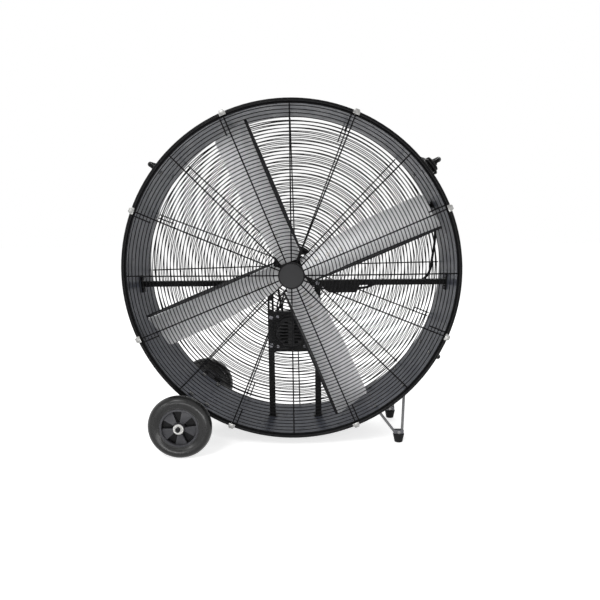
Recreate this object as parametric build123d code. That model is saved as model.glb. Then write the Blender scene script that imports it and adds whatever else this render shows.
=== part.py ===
from build123d import *
from math import acos, atan2, ceil, cos, degrees, hypot, pi, radians, sin, sqrt, tan
import os

# Belt driven drum fan.  Sizes in millimetres.  The fan stands on the floor at z = 0, its front
# faces -Y, and the drum's axis runs along Y above the origin.  Pieces are drawn about that axis
# and lifted to axis_height when they are written.

# Clearances
seat_gap = 0.1          # between faces that rest on each other
running_gap = 0.05      # radial, shaft in bore
hole_gap = 0.2          # radial, bolt in hole
body_gap = 0.3          # between pieces that move past each other

# Drum
rim_radius = 560.0
bead_radius = 6.4
bead_overhang = 0.2     # the bead's inner edge stands this far outside the wall's inner face
wall_thickness = 1.5
drum_depth = 340.0
wall_inner = rim_radius - 2 * bead_radius - bead_overhang
wall_outer = wall_inner + wall_thickness

# Guards
guard_set_in = 2.0      # outer ends of the radial wires, inside the drum wall's inner face
guard_dome = 22.0
guard_proud = 0.1       # radial wires in front of the bead
ring_wire = 2.8
ring_count = 43         # besides the thick frame ring
last_ring = 57.1        # radius of the innermost ring
ring_sides = 8          # flats round each ring wire, so that so many rings stay light
frame_wire = 6.0
spoke_wire = 4.5
spoke_count = 16
spoke_inner = 24.0
rear_guard_turn = 1.2   # degrees
short_wire_length = 60.0
short_wire_offset = 13.7
guard_reach = wall_inner - guard_set_in
frame_ring = guard_reach - frame_wire / 3
ring_pitch = (frame_ring - last_ring) / ring_count
clip_count = 8
clip_width = 17.0
clip_reach = 23.0       # inwards from the rim
clip_sheet = 1.5
clip_lip = 15.0
clip_screw = 4.0
clip_inner = rim_radius - clip_reach
cap_radius = 43.5
cap_height = 8.0
cap_sheet = 2.0
badge_radius = 38.5
badge_sheet = 1.0
cap_post_radius = 7.0
guard_plate_radius = 40.0
guard_plate_sheet = 2.0

# Fan
blade_count = 4
blade_turn = 112.4      # degrees, first blade
tip_gap = 21.0          # blade tip to drum wall
blade_tip = wall_inner - tip_gap
blade_chord = 142.0
blade_pitch = 25.0
blade_camber = 10.0
blade_sheet = 2.0
blade_shift = 11.0      # counter-clockwise of the radius
blade_root = 36.0
blade_root_half = 30.0
blade_trailing = 53.0
blade_waist = 46.0      # counter-clockwise reach at the waist
blade_waist_at = 110.0
blade_shoulder = 68.0
blade_shoulder_at = 300.0
blade_corner = 16.0     # the counter-clockwise tip corner stands this much shorter
lip_width = 9.0
lip_turn = 40.0
fan_plane = -60.0
arm_sheet = 4.0
arm_reach = 205.0
arm_trailing = 46.0
arm_leading = 28.0
hub_radius = 24.0
hub_length = 34.0
shaft_radius = 10.0
blade_bolt = 8.0
blade_bolt_rows = (90.0, 135.0, 180.0)
blade_bolt_side = 20.0

# Carrying frame
beam_front = 5.1
beam_depth = 25.0
beam_height = 19.0
beam_wall = 2.0
bearing_height = 33.3   # shaft axis over the saddle
bearing_width = 28.0
bearing_foot = 127.0
bearing_foot_height = 13.0
bearing_ring = 29.0
bearing_bolt_half = 47.0
front_bearing_y = -5.0
rear_bearing_y = 72.0
saddle_width = 136.0
saddle_plate = 4.0
saddle_front = -26.0
saddle_rear = 92.0
saddle_rib = 4.0
saddle_rib_x = 36.0
upright_x = 84.0
upright_width = 22.0
upright_sheet = 3.0
upright_depth = 12.0
slot_width = 7.0
slot_top = -110.0
slot_length = 32.0
pad_sheet = 4.0
pad_half = 30.0
frame_bolt = 8.0

# Motor and belt
motor_x = -12.0
motor_z = -223.0
motor_radius = 65.0
motor_front_face = -6.0
motor_length = 84.0     # body, back from its flange
motor_flange = 5.0
flange_width = 124.0
flange_height = 136.0
bell_radius = 58.0
vent_count = 7
vent_pitch = 12.0
vent_width = 5.0
rear_bell_length = 14.0
rear_boss = 4.0
motor_shaft_radius = 7.0
plate_sheet = 3.0
plate_top = -150.0
plate_bottom = -297.0
plate_bolt_top = -170.0
plate_bolt_bottom = -272.0
motor_bolt_x = 48.0
motor_bolt_z = 54.0
belt_plane = 128.0
belt_top = 12.7
belt_height = 8.0
belt_angle = 38.0       # degrees between the flanks
pulley_width = 18.0
fan_pulley_radius = 80.0
motor_pulley_radius = 32.0
pulley_rim = 7.0
pulley_web = 6.0
terminal_length = 44.0
terminal_depth = 34.0
terminal_front = 20.0
terminal_top = -152.0

# Wiring
box_left = 98.0
box_right = 236.0
box_height = 26.0
box_depth = 31.0
box_slope = 26.0
box_right_slope = 12.0
box_wall = 2.0
box_bolts_x = (122.0, 222.0)
lead_radius = 3.0
cable_radius = 4.5
cable_turn_in = 85.0    # from the drum wall, where the cable leaves it for the beam
cable_clips_at = (0.726, 0.460)     # share of the way from the wire box to that turn
spare_bolt_at = 0.367
cable_ear_drop = 3.2    # screw of a cable clip below the beam's top
gland_angle = 24.3
gland_y = 55.0
gland_thread = 6.0
gland_nut = 11.0
gland_nut_height = 6.0
gland_elbow = 12.0      # axis of the side outlet under the nut
gland_outlet = 24.0

# Switch box on the outside of the drum
switch_angle = 22.7
switch_y = 75.0
switch_width = 60.0
switch_length = 90.0
switch_height = 34.0
switch_wall = 2.5
lid_sheet = 2.5
knob_radius = 14.0
knob_height = 14.0
knob_stem = 4.0

# Handles: angle on the drum and height of the outermost point over the drum wall
handle_half = 92.0
handle_rod = 6.35
handle_bend = 16.0
handle_foot = 15.0
handle_foot_sheet = 3.0
grip_radius = 9.0
left_handle_angle = 142.2
left_handle_height = 55.5
right_handle_angle = 37.2
right_handle_height = 76.5
lower_handle_angle = -30.9
lower_handle_height = 47.5
handle_screw = 6.0
handle_screw_depth = 22.0
collar_radius = 10.0
collar_height = 6.0

# Power cord
cord_radius = 4.0
cord_pitch = 8.7
winding_slack = 0.85    # first turn clear of the handle's leg
winding_height = 13.5   # lowest turns over the drum wall
winding_turns = 2       # in each layer
winding_start_y = 5.0
winding_end_y = -70.0
relief_length = 28.0
relief_base = 8.0
relief_tip = 5.5
relief_height = 9.5     # over the drum wall
plug_length = 42.0
plug_width = 28.0
plug_height = 24.0
plug_neck = 16.0
prong_length = 16.0

# Wheels and legs
axle_standoff = 59.5132   # from the drum wall
axle_turn = 52.7532       # degrees, below the horizontal on the left
wheel_radius = 105.0
wheel_y = 256.0
tyre_width = 46.0
tyre_inner = 64.0
tyre_round = 15.0
wheel_hub_rim = 8.0
wheel_hub_width = 50.0
wheel_boss = 19.0
wheel_web = 4.0
wheel_ribs = 8
axle_radius = 8.0
axle_tube = 11.0
washer_radius = 17.0
washer_sheet = 2.0
axle_end = 292.0
pin_radius = 1.8
bracket_y = 125.0
bracket_sheet = 5.0
bracket_half = 45.0
bracket_pad = 24.0
bracket_pad_sheet = 4.0
bracket_ring = 19.0
leg_set_in = 42.0       # from the drum's rim
leg_rod = 4.75
leg_inner_angle = -58.8
leg_outer_angle = -46.2
leg_pad_width = 24.0
leg_pad_length = 34.0
leg_pad_sheet = 3.0
foot_set_in = 186.5     # from the drum wall's radius
foot_top = 20.0
foot_bottom = 14.0
foot_height = 29.0
leg_inner_step = 8.0    # lower end of the inner rod, inwards from the foot's middle
leg_outer_step = 11.4
leg_bracket_width = 34.0
leg_bracket_height = 19.0
leg_bracket_sheet = 2.5
leg_bolt = 6.0

# Worked out from the sizes above
axle_reach = wall_outer + axle_standoff
wheel_x = -axle_reach * cos(radians(axle_turn))
wheel_drop = axle_reach * sin(radians(axle_turn))
axis_height = wheel_drop + wheel_radius
floor = -axis_height
foot_x = wall_outer - foot_set_in
leg_inner_x = foot_x - leg_inner_step
leg_outer_x = foot_x + leg_outer_step
cable_turn_x = wall_inner - cable_turn_in
axle_side = axle_turn - 180
winding_base = wall_outer + winding_height
bead_center = rim_radius - bead_radius
rim_y = drum_depth / 2
leg_y = rim_y - leg_set_in
saddle_top = -bearing_height
beam_top = saddle_top - saddle_plate
beam_bottom = beam_top - beam_height
beam_rear = beam_front + beam_depth
upright_front = beam_front - seat_gap - upright_sheet
box_top = beam_bottom - seat_gap
plate_front = upright_front + upright_sheet + seat_gap
flange_front = plate_front + plate_sheet + seat_gap
motor_body_front = flange_front + motor_flange + seat_gap
motor_body_rear = motor_body_front + motor_length
motor_rear = motor_body_rear + seat_gap + rear_bell_length
belt_flank = tan(radians(belt_angle / 2))
left_handle = (left_handle_angle, wall_outer + left_handle_height)
right_handle = (right_handle_angle, wall_outer + right_handle_height)
lower_handle = (lower_handle_angle, wall_outer + lower_handle_height)
sides = (-1, 1)


# ---------------------------------------------------------------- small helpers

def turned(angle):
    """Turn about the drum's axis, counter-clockwise seen from the front."""
    return Rot(0, -angle, 0)


def wall_plane(angle):
    """Local x runs clockwise along the wall, y along the drum, z outwards from the axis."""
    a = radians(angle)
    return Plane(origin=(0, 0, 0), x_dir=(sin(a), 0, -cos(a)), z_dir=(cos(a), 0, sin(a)))


def bar_y(radius, low, high):
    return Pos(0, (low + high) / 2, 0) * Rot(90, 0, 0) * Cylinder(radius, high - low)


def bar_z(radius, low, high):
    return Pos(0, 0, (low + high) / 2) * Cylinder(radius, high - low)


def slab(x_low, x_high, y_low, y_high, z_low, z_high):
    middle = Pos((x_low + x_high) / 2, (y_low + y_high) / 2, (z_low + z_high) / 2)
    return middle * Box(x_high - x_low, y_high - y_low, z_high - z_low)


def shell_y(inner, outer, low, high):
    return bar_y(outer, low, high) - bar_y(inner, low - 1, high + 1)


def hexagon(across, height):
    return extrude(RegularPolygon(across / 2, 6, major_radius=False), height)


def group(shapes):
    return Compound([solid for shape in shapes for solid in shape.solids()])


def bolt(diameter, low, high):
    """Head above high, nut below low, along local z."""
    head = Pos(0, 0, high + seat_gap) * hexagon(1.7 * diameter, 0.6 * diameter)
    nut_height = 0.8 * diameter
    nut = Pos(0, 0, low - seat_gap - nut_height) * hexagon(1.7 * diameter, nut_height)
    shank = bar_z(diameter / 2, low - seat_gap - nut_height - 2, high + seat_gap + 1)
    return shank + head + nut


def front_bolt(diameter, front, rear):
    """The same along Y, head towards the front."""
    return Rot(90, 0, 0) * bolt(diameter, -rear, -front)


def bend_radii(points):
    """Fillet radii that use 0.45 of the shorter run at each corner."""
    corners = [Vector(*p) for p in points]
    radii = []
    for before, here, after in zip(corners, corners[1:], corners[2:]):
        turn = radians((here - before).get_angle(after - here))
        shorter = min((here - before).length, (after - here).length)
        radii.append(0.45 * shorter / tan(turn / 2))
    return radii


def tube(points, radius, name):
    """A round cord along straight runs joined by tangent arcs."""
    radii = bend_radii(points)
    path = FilletPolyline(*points, radius=radii)
    wire = path.wire()
    section = Plane(origin=wire @ 0, z_dir=wire % 0) * Circle(radius)
    solid = sweep(section, path=wire)
    ideal = pi * radius * radius * wire.length
    print(name, "length", round(wire.length, 1), "radii", [round(r, 1) for r in radii],
          "volume ratio", round(solid.volume / ideal, 5))
    return solid


# ---------------------------------------------------------------- drum

def rim_clip_angles(turn):
    """The clips sit between a radial wire and the short wire beside it."""
    half_offset = degrees(short_wire_offset / 2 / guard_reach)
    return [22.5 + 360 / clip_count * k + turn + half_offset for k in range(clip_count)]


def handle_places():
    return [(angle, y) for angle, tip in (left_handle, right_handle, lower_handle)
            for y in (-handle_half, handle_half)]


def bracket_places():
    swing = degrees((bracket_half - bracket_pad / 2) / wall_outer)
    return [(axle_side + s * swing, y) for s in sides for y in (-bracket_y, bracket_y)]


def leg_bolt_y():
    return leg_y - leg_pad_length / 2 + leg_pad_width / 4


def leg_places():
    return [(angle, s * leg_bolt_y()) for angle in (leg_inner_angle, leg_outer_angle) for s in sides]


def beam_bolt_places():
    middle = degrees((beam_top + beam_bottom) / 2 / wall_inner)
    swing = degrees((pad_half - 9) / wall_inner)
    y = (beam_front + beam_rear) / 2
    right = [(middle + s * swing, y) for s in sides]
    return right + [(180 - angle, y) for angle, y in right]


def upright_bolt_places():
    drop = sqrt(wall_inner ** 2 - upright_x ** 2)
    y = upright_front + upright_depth + 8
    return [(degrees(atan2(-drop, s * upright_x)), y) for s in sides]


def switch_screw_places():
    return [(switch_angle, switch_y + s * (switch_length / 2 - 12)) for s in sides]


def drum_shell():
    wall = Pos(wall_inner + wall_thickness / 2, 0) * Rectangle(wall_thickness,
                                                              drum_depth - 2 * bead_radius)
    profile = wall
    for s in sides:
        profile += Pos(bead_center, s * (rim_y - bead_radius)) * Circle(bead_radius)
    shell = revolve(profile, Axis.Y)
    holes = []
    plain = [(handle_places(), handle_screw), (bracket_places(), frame_bolt),
             (leg_places(), leg_bolt), (beam_bolt_places(), frame_bolt),
             (upright_bolt_places(), frame_bolt), (switch_screw_places(), clip_screw),
             ([(gland_angle, gland_y)], 2 * gland_thread)]
    for places, diameter in plain:
        for angle, y in places:
            drill = bar_z(diameter / 2 + hole_gap, wall_inner - 5, wall_outer + 5)
            holes.append(wall_plane(angle) * Pos(0, y, 0) * drill)
    for side, turn in ((-1, 0), (1, rear_guard_turn)):
        reach = sorted((side * (rim_y + 1), side * (rim_y - 3 * bead_radius)))
        for angle in rim_clip_angles(turn):
            drill = bar_y(clip_screw / 2 + hole_gap, *reach)
            holes.append(turned(angle) * Pos(bead_center, 0, 0) * drill)
    return shell - holes


# ---------------------------------------------------------------- guards

def dome_radius():
    return (guard_reach ** 2 + guard_dome ** 2) / (2 * guard_dome)


def spoke_y(radius):
    """Depth of a radial wire's axis on the front guard, at a distance from the drum's axis."""
    end = rim_y + guard_proud - spoke_wire / 2
    rise = dome_radius() - sqrt(dome_radius() ** 2 - radius ** 2)
    return -(end + guard_dome - rise)


def arc_wire(inner, outer, side_offset, lift):
    """A domed wire of the front guard, along +X, moved sideways and lifted outwards."""
    points = []
    for reach in (inner, (inner + outer) / 2, outer):
        points.append((reach, spoke_y(hypot(reach, side_offset)) - lift, side_offset))
    path = ThreePointArc(*points)
    section = Plane(origin=path @ 0, z_dir=path % 0) * Circle(spoke_wire / 2)
    return sweep(section, path=path)


def guard_side(side, turn, shape):
    """Carry a piece of the front guard to its side of the drum."""
    if side > 0:
        shape = mirror(shape, about=Plane.XZ)
    return turned(turn) * shape


def guard_spokes(side, turn):
    spoke = arc_wire(spoke_inner, guard_reach, 0, 0)
    short = arc_wire(guard_reach - short_wire_length, guard_reach, short_wire_offset, seat_gap)
    wires = [turned(360 / spoke_count * k) * spoke for k in range(spoke_count)]
    wires += [turned(22.5 + 360 / clip_count * k) * short for k in range(clip_count)]
    return group([guard_side(side, turn, wire) for wire in wires])


def guard_rings(side, turn):
    rings = []
    for k in range(ring_count + 1):
        wire = frame_wire if k == 0 else ring_wire
        radius = frame_ring - ring_pitch * k
        y = spoke_y(radius) + (spoke_wire + wire) / 2 + seat_gap / 2
        section = Circle(wire / 2) if k == 0 else RegularPolygon(wire / 2, ring_sides)
        rings.append(revolve(Pos(radius, y) * section, Axis.Y))
    rings.append(bar_y(guard_plate_radius, guard_plate_y(), guard_plate_y() + guard_plate_sheet))
    return group([guard_side(side, turn, ring) for ring in rings])


def guard_plate_y():
    """Outer face of the round plate that the radial wires end on."""
    return spoke_y(guard_plate_radius) + spoke_wire / 2 + seat_gap


def cap_seat():
    """Rim of the cap, on the outer side of the radial wires."""
    return spoke_y(0) - spoke_wire / 2 - seat_gap


def guard_cap(side, turn):
    outer = cap_seat() - cap_height
    cap = bar_y(cap_radius, outer, cap_seat())
    edge = cap.edges().filter_by(GeomType.CIRCLE).sort_by(Axis.Y)[0]
    cap = fillet(edge, cap_sheet)
    cap -= bar_y(cap_radius - cap_sheet, outer + cap_sheet, cap_seat() + 1)
    cap += bar_y(cap_post_radius, outer + cap_sheet / 2, guard_plate_y() - seat_gap)
    return guard_side(side, turn, cap)


def badge_plate():
    """Plain round plate on the front cap."""
    face = cap_seat() - cap_height - seat_gap
    return bar_y(badge_radius, face - badge_sheet, face)


def clip_seat():
    return spoke_y(clip_inner) - spoke_wire / 2 - 2 * seat_gap


def guard_clips():
    outer = rim_radius + body_gap + clip_sheet
    seat = clip_seat()
    half = clip_width / 2
    clip = slab(clip_inner, outer, seat - clip_sheet, seat, -half, half)
    clip += slab(outer - clip_sheet, outer, seat - clip_sheet, seat + clip_lip, -half, half)
    clip -= Pos(bead_center, 0, 0) * bar_y(clip_screw / 2 + hole_gap, seat - 5, seat + 5)
    clips = []
    for side, turn in ((-1, 0), (1, rear_guard_turn)):
        for angle in rim_clip_angles(0):
            clips.append(guard_side(side, turn, turned(angle) * clip))
    return group(clips)


def clip_screws():
    front = clip_seat() - clip_sheet
    rear = -(rim_y - 2 * bead_radius)
    screw = Pos(bead_center, 0, 0) * front_bolt(clip_screw, front, rear)
    screws = []
    for side, turn in ((-1, 0), (1, rear_guard_turn)):
        for angle in rim_clip_angles(0):
            screws.append(guard_side(side, turn, turned(angle) * screw))
    return group(screws)


# ---------------------------------------------------------------- fan

def camber_radius():
    return ((blade_chord / 2) ** 2 + blade_camber ** 2) / (2 * blade_camber)


def blade_section(offset, low, high, sheet):
    """Cambered strip seen down a blade that points up: x clockwise, y to the rear.

    low and high are distances along the chord from its middle, offset moves it to the rear.
    """
    arc_radius = camber_radius() + offset
    ends = [(x, sqrt(arc_radius ** 2 - x * x) - camber_radius() + blade_camber)
            for x in (low, (low + high) / 2, high)]
    return trace(ThreePointArc(*ends), sheet)


def pitched(shape):
    """Set a section or a piece drawn on the chord at the blade's pitch."""
    return Pos(-blade_shift, fan_plane, 0) * Rot(0, 0, -blade_pitch) * shape


def blade_outline():
    """Outline against the light: x counter-clockwise is negative, y along the blade."""
    corner = blade_tip - blade_corner
    points = [(blade_root_half, blade_root), (blade_trailing, blade_root + 26),
              (blade_trailing, blade_tip), (-blade_shoulder - 5, corner),
              (-blade_shoulder, blade_shoulder_at), (-blade_waist, blade_waist_at),
              (-blade_root_half, blade_root)]
    outline = make_face(Polyline(*points, close=True))
    outline = fillet(outline.vertices().sort_by(Axis.Y)[-2:], 14)
    return Plane.XZ * outline


def blade():
    half = blade_chord / 2
    strip = blade_section(0, -half, half - lip_width, blade_sheet)
    root_y = sqrt(camber_radius() ** 2 - (half - lip_width) ** 2)
    start = (half - lip_width, root_y - camber_radius() + blade_camber)
    lean = radians(lip_turn)
    end = (start[0] + lip_width * cos(lean), start[1] + lip_width * sin(lean))
    strip += trace(Line(start, end), blade_sheet)
    long_strip = extrude(pitched(strip), blade_tip + 20)
    cutter = extrude(Pos(0, fan_plane, 0) * blade_outline(), blade_chord, both=True)
    sheet = long_strip & cutter
    for row in blade_bolt_rows:
        sheet -= blade_bolt_hole(row)
    return sheet


def blade_bolt_hole(row):
    drill = Rot(90, 0, 0) * Cylinder(blade_bolt / 2 + hole_gap, 80)
    return Pos(0, 0, row) * pitched(drill)


def arm_offset():
    return (blade_sheet + arm_sheet) / 2 + seat_gap


def hub_spider():
    hub = bar_y(hub_radius, fan_plane - hub_length / 2, fan_plane + hub_length / 2)
    arm = extrude(pitched(blade_section(arm_offset(), -arm_leading, arm_trailing, arm_sheet)),
                  arm_reach)
    for row in blade_bolt_rows:
        arm -= blade_bolt_hole(row)
    for k in range(blade_count):
        hub += turned(blade_turn - 90 + 360 / blade_count * k) * arm
    return hub - bar_y(shaft_radius + seat_gap / 2, fan_plane - hub_length, fan_plane + hub_length)


def blades():
    first = blade()
    return [turned(blade_turn - 90 + 360 / blade_count * k) * first for k in range(blade_count)]


def blade_bolts():
    rear = blade_camber + arm_offset() + arm_sheet / 2
    front = blade_camber - blade_sheet / 2 - seat_gap
    one = pitched(front_bolt(blade_bolt, front, rear))
    bolts = []
    for k in range(blade_count):
        for row in blade_bolt_rows:
            bolts.append(turned(blade_turn - 90 + 360 / blade_count * k) * Pos(0, 0, row) * one)
    return group(bolts)


def fan_shaft():
    return bar_y(shaft_radius, fan_plane - hub_length / 2 - 4, belt_plane + pulley_width / 2 + 6)


# ---------------------------------------------------------------- pulleys and belt

def pulley(outer, bore, hub, holes):
    half = pulley_width / 2
    depth = belt_height + 1
    mouth = belt_top / 2 + body_gap
    bottom = mouth - depth * belt_flank
    groove = Polyline((outer + 1, -mouth), (outer, -mouth), (outer - depth, -bottom),
                      (outer - depth, bottom), (outer, mouth), (outer + 1, mouth), close=True)
    profile = Pos((outer + bore) / 2, 0) * Rectangle(outer - bore, 2 * half)
    profile -= make_face(groove)
    floor_radius = outer - depth - pulley_rim
    if floor_radius > hub + 6:
        for s in sides:
            pocket = Rectangle(floor_radius - hub, half - pulley_web / 2)
            profile -= Pos((floor_radius + hub) / 2, s * (half + pulley_web / 2) / 2) * pocket
    wheel = revolve(profile, Axis.Y)
    for k in range(holes):
        middle = (floor_radius + hub) / 2
        drill = bar_y((floor_radius - hub) / 2 - 6, -half, half)
        wheel -= turned(90 * k + 45) * Pos(middle, 0, 0) * drill
    return Pos(0, belt_plane, 0) * wheel


def fan_pulley():
    return pulley(fan_pulley_radius, shaft_radius + seat_gap / 2, 22, 4)


def motor_pulley():
    return Pos(motor_x, 0, motor_z) * pulley(motor_pulley_radius, motor_shaft_radius + seat_gap / 2,
                                              14, 0)


def drive_belt():
    """Trapezoid section along the two straight strands and round both pulleys."""
    lift = 0.5
    reach = hypot(motor_x, motor_z)
    big = fan_pulley_radius + lift
    small = motor_pulley_radius + lift
    lean = acos((big - small) / reach)
    direction = atan2(motor_z, motor_x)

    def rim(center, radius, angle):
        return Vector(center[0] + radius * cos(angle), belt_plane, center[1] + radius * sin(angle))

    fan = (0, 0)
    motor = (motor_x, motor_z)
    a, b = direction + lean, direction - lean
    edges = [Line(rim(fan, big, a), rim(motor, small, a)),
             ThreePointArc(rim(motor, small, a), rim(motor, small, direction),
                           rim(motor, small, b)),
             Line(rim(motor, small, b), rim(fan, big, b)),
             ThreePointArc(rim(fan, big, b), rim(fan, big, direction + pi), rim(fan, big, a))]
    loop = Wire([curve.edge() for curve in edges])
    top = belt_top / 2
    bottom = top - belt_height * belt_flank
    outline = Polyline((0, -top), (0, top), (belt_height, bottom), (belt_height, -bottom), close=True)
    inward = Vector(-cos(a), 0, -sin(a))
    section = Plane(origin=rim(fan, big, a), x_dir=inward, z_dir=loop % 0) * make_face(outline)
    return sweep(section, path=loop)


# ---------------------------------------------------------------- carrying frame

def inside_drum(shape):
    return shape & bar_y(wall_inner - seat_gap, -rim_y, rim_y)


def wall_pad(angle, half, y_low, y_high):
    """Curved foot plate against the inside of the drum wall."""
    lining = shell_y(wall_inner - seat_gap - pad_sheet, wall_inner - seat_gap, y_low, y_high)
    window = slab(-half, half, y_low, y_high, wall_inner - 40, wall_inner + 10)
    return lining & (wall_plane(angle) * window)


def bolt_holes(shape, places, diameter):
    for angle, y in places:
        drill = bar_z(diameter / 2 + hole_gap, wall_inner - 40, wall_outer + 40)
        shape -= wall_plane(angle) * Pos(0, y, 0) * drill
    return shape


def cross_beam():
    beam = slab(-wall_inner, wall_inner, beam_front, beam_rear, beam_bottom, beam_top)
    beam -= slab(-wall_inner, wall_inner, beam_front + beam_wall, beam_rear - beam_wall,
                 beam_bottom + beam_wall, beam_top - beam_wall)
    beam = inside_drum(beam)
    middle = degrees((beam_top + beam_bottom) / 2 / wall_inner)
    for angle in (middle, 180 - middle):
        beam += wall_pad(angle, pad_half, beam_front, beam_rear)
    beam = bolt_holes(beam, beam_bolt_places(), frame_bolt)
    for x in box_bolts_x + (along_beam(spare_bolt_at),):
        drill = bar_z(clip_screw / 2 + hole_gap, beam_bottom - 5, beam_top + 5)
        beam -= Pos(x, (beam_front + beam_rear) / 2, 0) * drill
    for x in saddle_bolts_x():
        drill = bar_z(frame_bolt / 2 + hole_gap, beam_bottom - 5, beam_top + 5)
        beam -= Pos(x, (beam_front + beam_rear) / 2, 0) * drill
    for x in (-upright_x, upright_x):
        drill = bar_y(frame_bolt / 2 + hole_gap, beam_front - 5, beam_front + 2 * beam_wall)
        beam -= Pos(x, 0, upright_bolt_z()) * drill
    return beam


def along_beam(share):
    """A place between the wire box and the point where the inner cable leaves the drum wall."""
    return box_right + share * (cable_turn_x - box_right)


def saddle_bolts_x():
    return [s * (saddle_width / 2 - 7) for s in sides]


def bearing_saddle():
    half = saddle_width / 2
    top = saddle_top - seat_gap
    saddle = slab(-half, half, saddle_front, saddle_rear, beam_top + seat_gap, top)
    low = beam_bottom - 4
    for x in (-saddle_rib_x, saddle_rib_x):
        back = Polyline((beam_rear + seat_gap, top - 1), (saddle_rear, top - 1),
                        (saddle_rear, top - 7), (beam_rear + seat_gap, low), close=True)
        rib = extrude(Plane.YZ * make_face(back), saddle_rib / 2, both=True)
        saddle += Pos(x, 0, 0) * rib
    for x in (-bearing_bolt_half, bearing_bolt_half):
        for y in (front_bearing_y, rear_bearing_y):
            saddle -= Pos(x, y, 0) * bar_z(frame_bolt / 2 + hole_gap, top - 20, top + 5)
    for x in saddle_bolts_x():
        drill = bar_z(frame_bolt / 2 + hole_gap, top - 20, top + 5)
        saddle -= Pos(x, (beam_front + beam_rear) / 2, 0) * drill
    return saddle


def bearing_block(y):
    foot_top = -bearing_height + bearing_foot_height
    base = Pos(0, (foot_top - bearing_height) / 2) * Rectangle(bearing_foot, bearing_foot_height)
    ring = Circle(bearing_ring)
    neck = Pos(0, -bearing_height / 2) * Rectangle(1.7 * bearing_ring, bearing_height)
    profile = base + ring + neck
    block = extrude(Plane.XZ * profile, bearing_width / 2, both=True)
    block += bar_y(bearing_ring * 0.62, -bearing_width / 2 - 3, bearing_width / 2 + 3)
    block -= bar_y(shaft_radius + running_gap, -bearing_width, bearing_width)
    for x in (-bearing_bolt_half, bearing_bolt_half):
        block -= Pos(x, 0, 0) * bar_z(frame_bolt / 2 + hole_gap, -bearing_height - 5, foot_top + 5)
    return Pos(0, y, 0) * block


def upright(side):
    """Angle iron: a front flange with a slot, and a side flange below the beam."""
    half = upright_width / 2
    x = side * upright_x
    front = upright_front
    flange = slab(x - half, x + half, front, front + upright_sheet, -wall_inner, beam_top)
    outer = x + side * half
    low, high = sorted((outer, outer - side * upright_sheet))
    flange += slab(low, high, front, front + upright_depth, -wall_inner, beam_bottom - 2)
    slot_middle = slot_top - slot_length / 2
    slot = slab(x - slot_width / 2, x + slot_width / 2, front - 1, front + upright_sheet + 1,
                slot_middle - slot_length / 2, slot_middle + slot_length / 2)
    flange -= slot
    flange = inside_drum(flange)
    foot_angle = degrees(atan2(-sqrt(wall_inner ** 2 - x * x), x))
    flange += wall_pad(foot_angle, half + 4, front, front + upright_depth + 16)
    flange = bolt_holes(flange, upright_bolt_places(), frame_bolt)
    for z in (plate_bolt_top, plate_bolt_bottom, upright_bolt_z()):
        flange -= Pos(x, 0, z) * bar_y(frame_bolt / 2 + hole_gap, front - 5, front + 10)
    return flange


def upright_bolt_z():
    return (beam_top + beam_bottom) / 2


def motor_plate():
    half = upright_x + upright_width / 2 - upright_sheet - 2 * seat_gap
    plate = slab(-half, half, plate_front, plate_front + plate_sheet, plate_bottom, plate_top)
    motor = Pos(motor_x, 0, motor_z)
    plate -= motor * bar_y(bell_radius + 1, plate_front - 5, plate_front + 10)
    for x in (-upright_x, upright_x):
        for z in (plate_bolt_top, plate_bolt_bottom):
            plate -= Pos(x, 0, z) * bar_y(frame_bolt / 2 + hole_gap, plate_front - 5, plate_front + 10)
    for x, z in motor_bolt_places():
        plate -= Pos(x, 0, z) * bar_y(leg_bolt / 2 + hole_gap, plate_front - 5, plate_front + 10)
    return plate


def frame_bolts():
    bolts = []
    for angle, y in beam_bolt_places() + upright_bolt_places():
        inner = wall_inner - seat_gap - pad_sheet - 0.2
        bolts.append(wall_plane(angle) * Pos(0, y, 0) * bolt(frame_bolt, inner, wall_outer + 0.1))
    for x in (-bearing_bolt_half, bearing_bolt_half):
        for y in (front_bearing_y, rear_bearing_y):
            top = -bearing_height + bearing_foot_height
            bolts.append(Pos(x, y, 0) * bolt(frame_bolt, beam_top + seat_gap, top))
    for x in saddle_bolts_x():
        y = (beam_front + beam_rear) / 2
        bolts.append(Pos(x, y, 0) * bolt(frame_bolt, beam_bottom, saddle_top - seat_gap))
    for s in sides:
        for z in (plate_bolt_top, plate_bolt_bottom):
            rear = plate_front + plate_sheet
            bolts.append(Pos(s * upright_x, 0, z) * front_bolt(frame_bolt, upright_front, rear))
        short = front_bolt(frame_bolt, upright_front, beam_front + beam_wall)
        bolts.append(Pos(s * upright_x, 0, upright_bolt_z()) * short)
    return group(bolts)


# ---------------------------------------------------------------- motor

def motor_bolt_places():
    return [(motor_x + sx * motor_bolt_x, motor_z + sz * motor_bolt_z) for sx in sides for sz in sides]


def motor_front_bell():
    """Vented bell that reaches through the motor plate, with a square flange behind it."""
    bell = bar_y(bell_radius, motor_front_face, flange_front + 1)
    rim = bell.edges().filter_by(GeomType.CIRCLE).sort_by(Axis.Y)[0]
    bell = fillet(rim, 4)
    bell += slab(-flange_width / 2, flange_width / 2, flange_front, flange_front + motor_flange,
                 -flange_height / 2, flange_height / 2)
    bell -= bar_y(bell_radius - 5, motor_front_face + 4, flange_front + motor_flange + 1)
    for k in range(vent_count):
        z = (k - (vent_count - 1) / 2) * vent_pitch
        half = sqrt((bell_radius - 14) ** 2 - z * z)
        for s in sides:
            low, high = sorted((s * 12, s * half))
            bell -= slab(low, high, motor_front_face - 1, motor_front_face + 5,
                         z - vent_width / 2, z + vent_width / 2)
    bell = Pos(motor_x, 0, motor_z) * bell
    for x, z in motor_bolt_places():
        bell -= Pos(x, 0, z) * bar_y(leg_bolt / 2 + hole_gap, flange_front - 5, flange_front + 20)
    return bell


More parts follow.
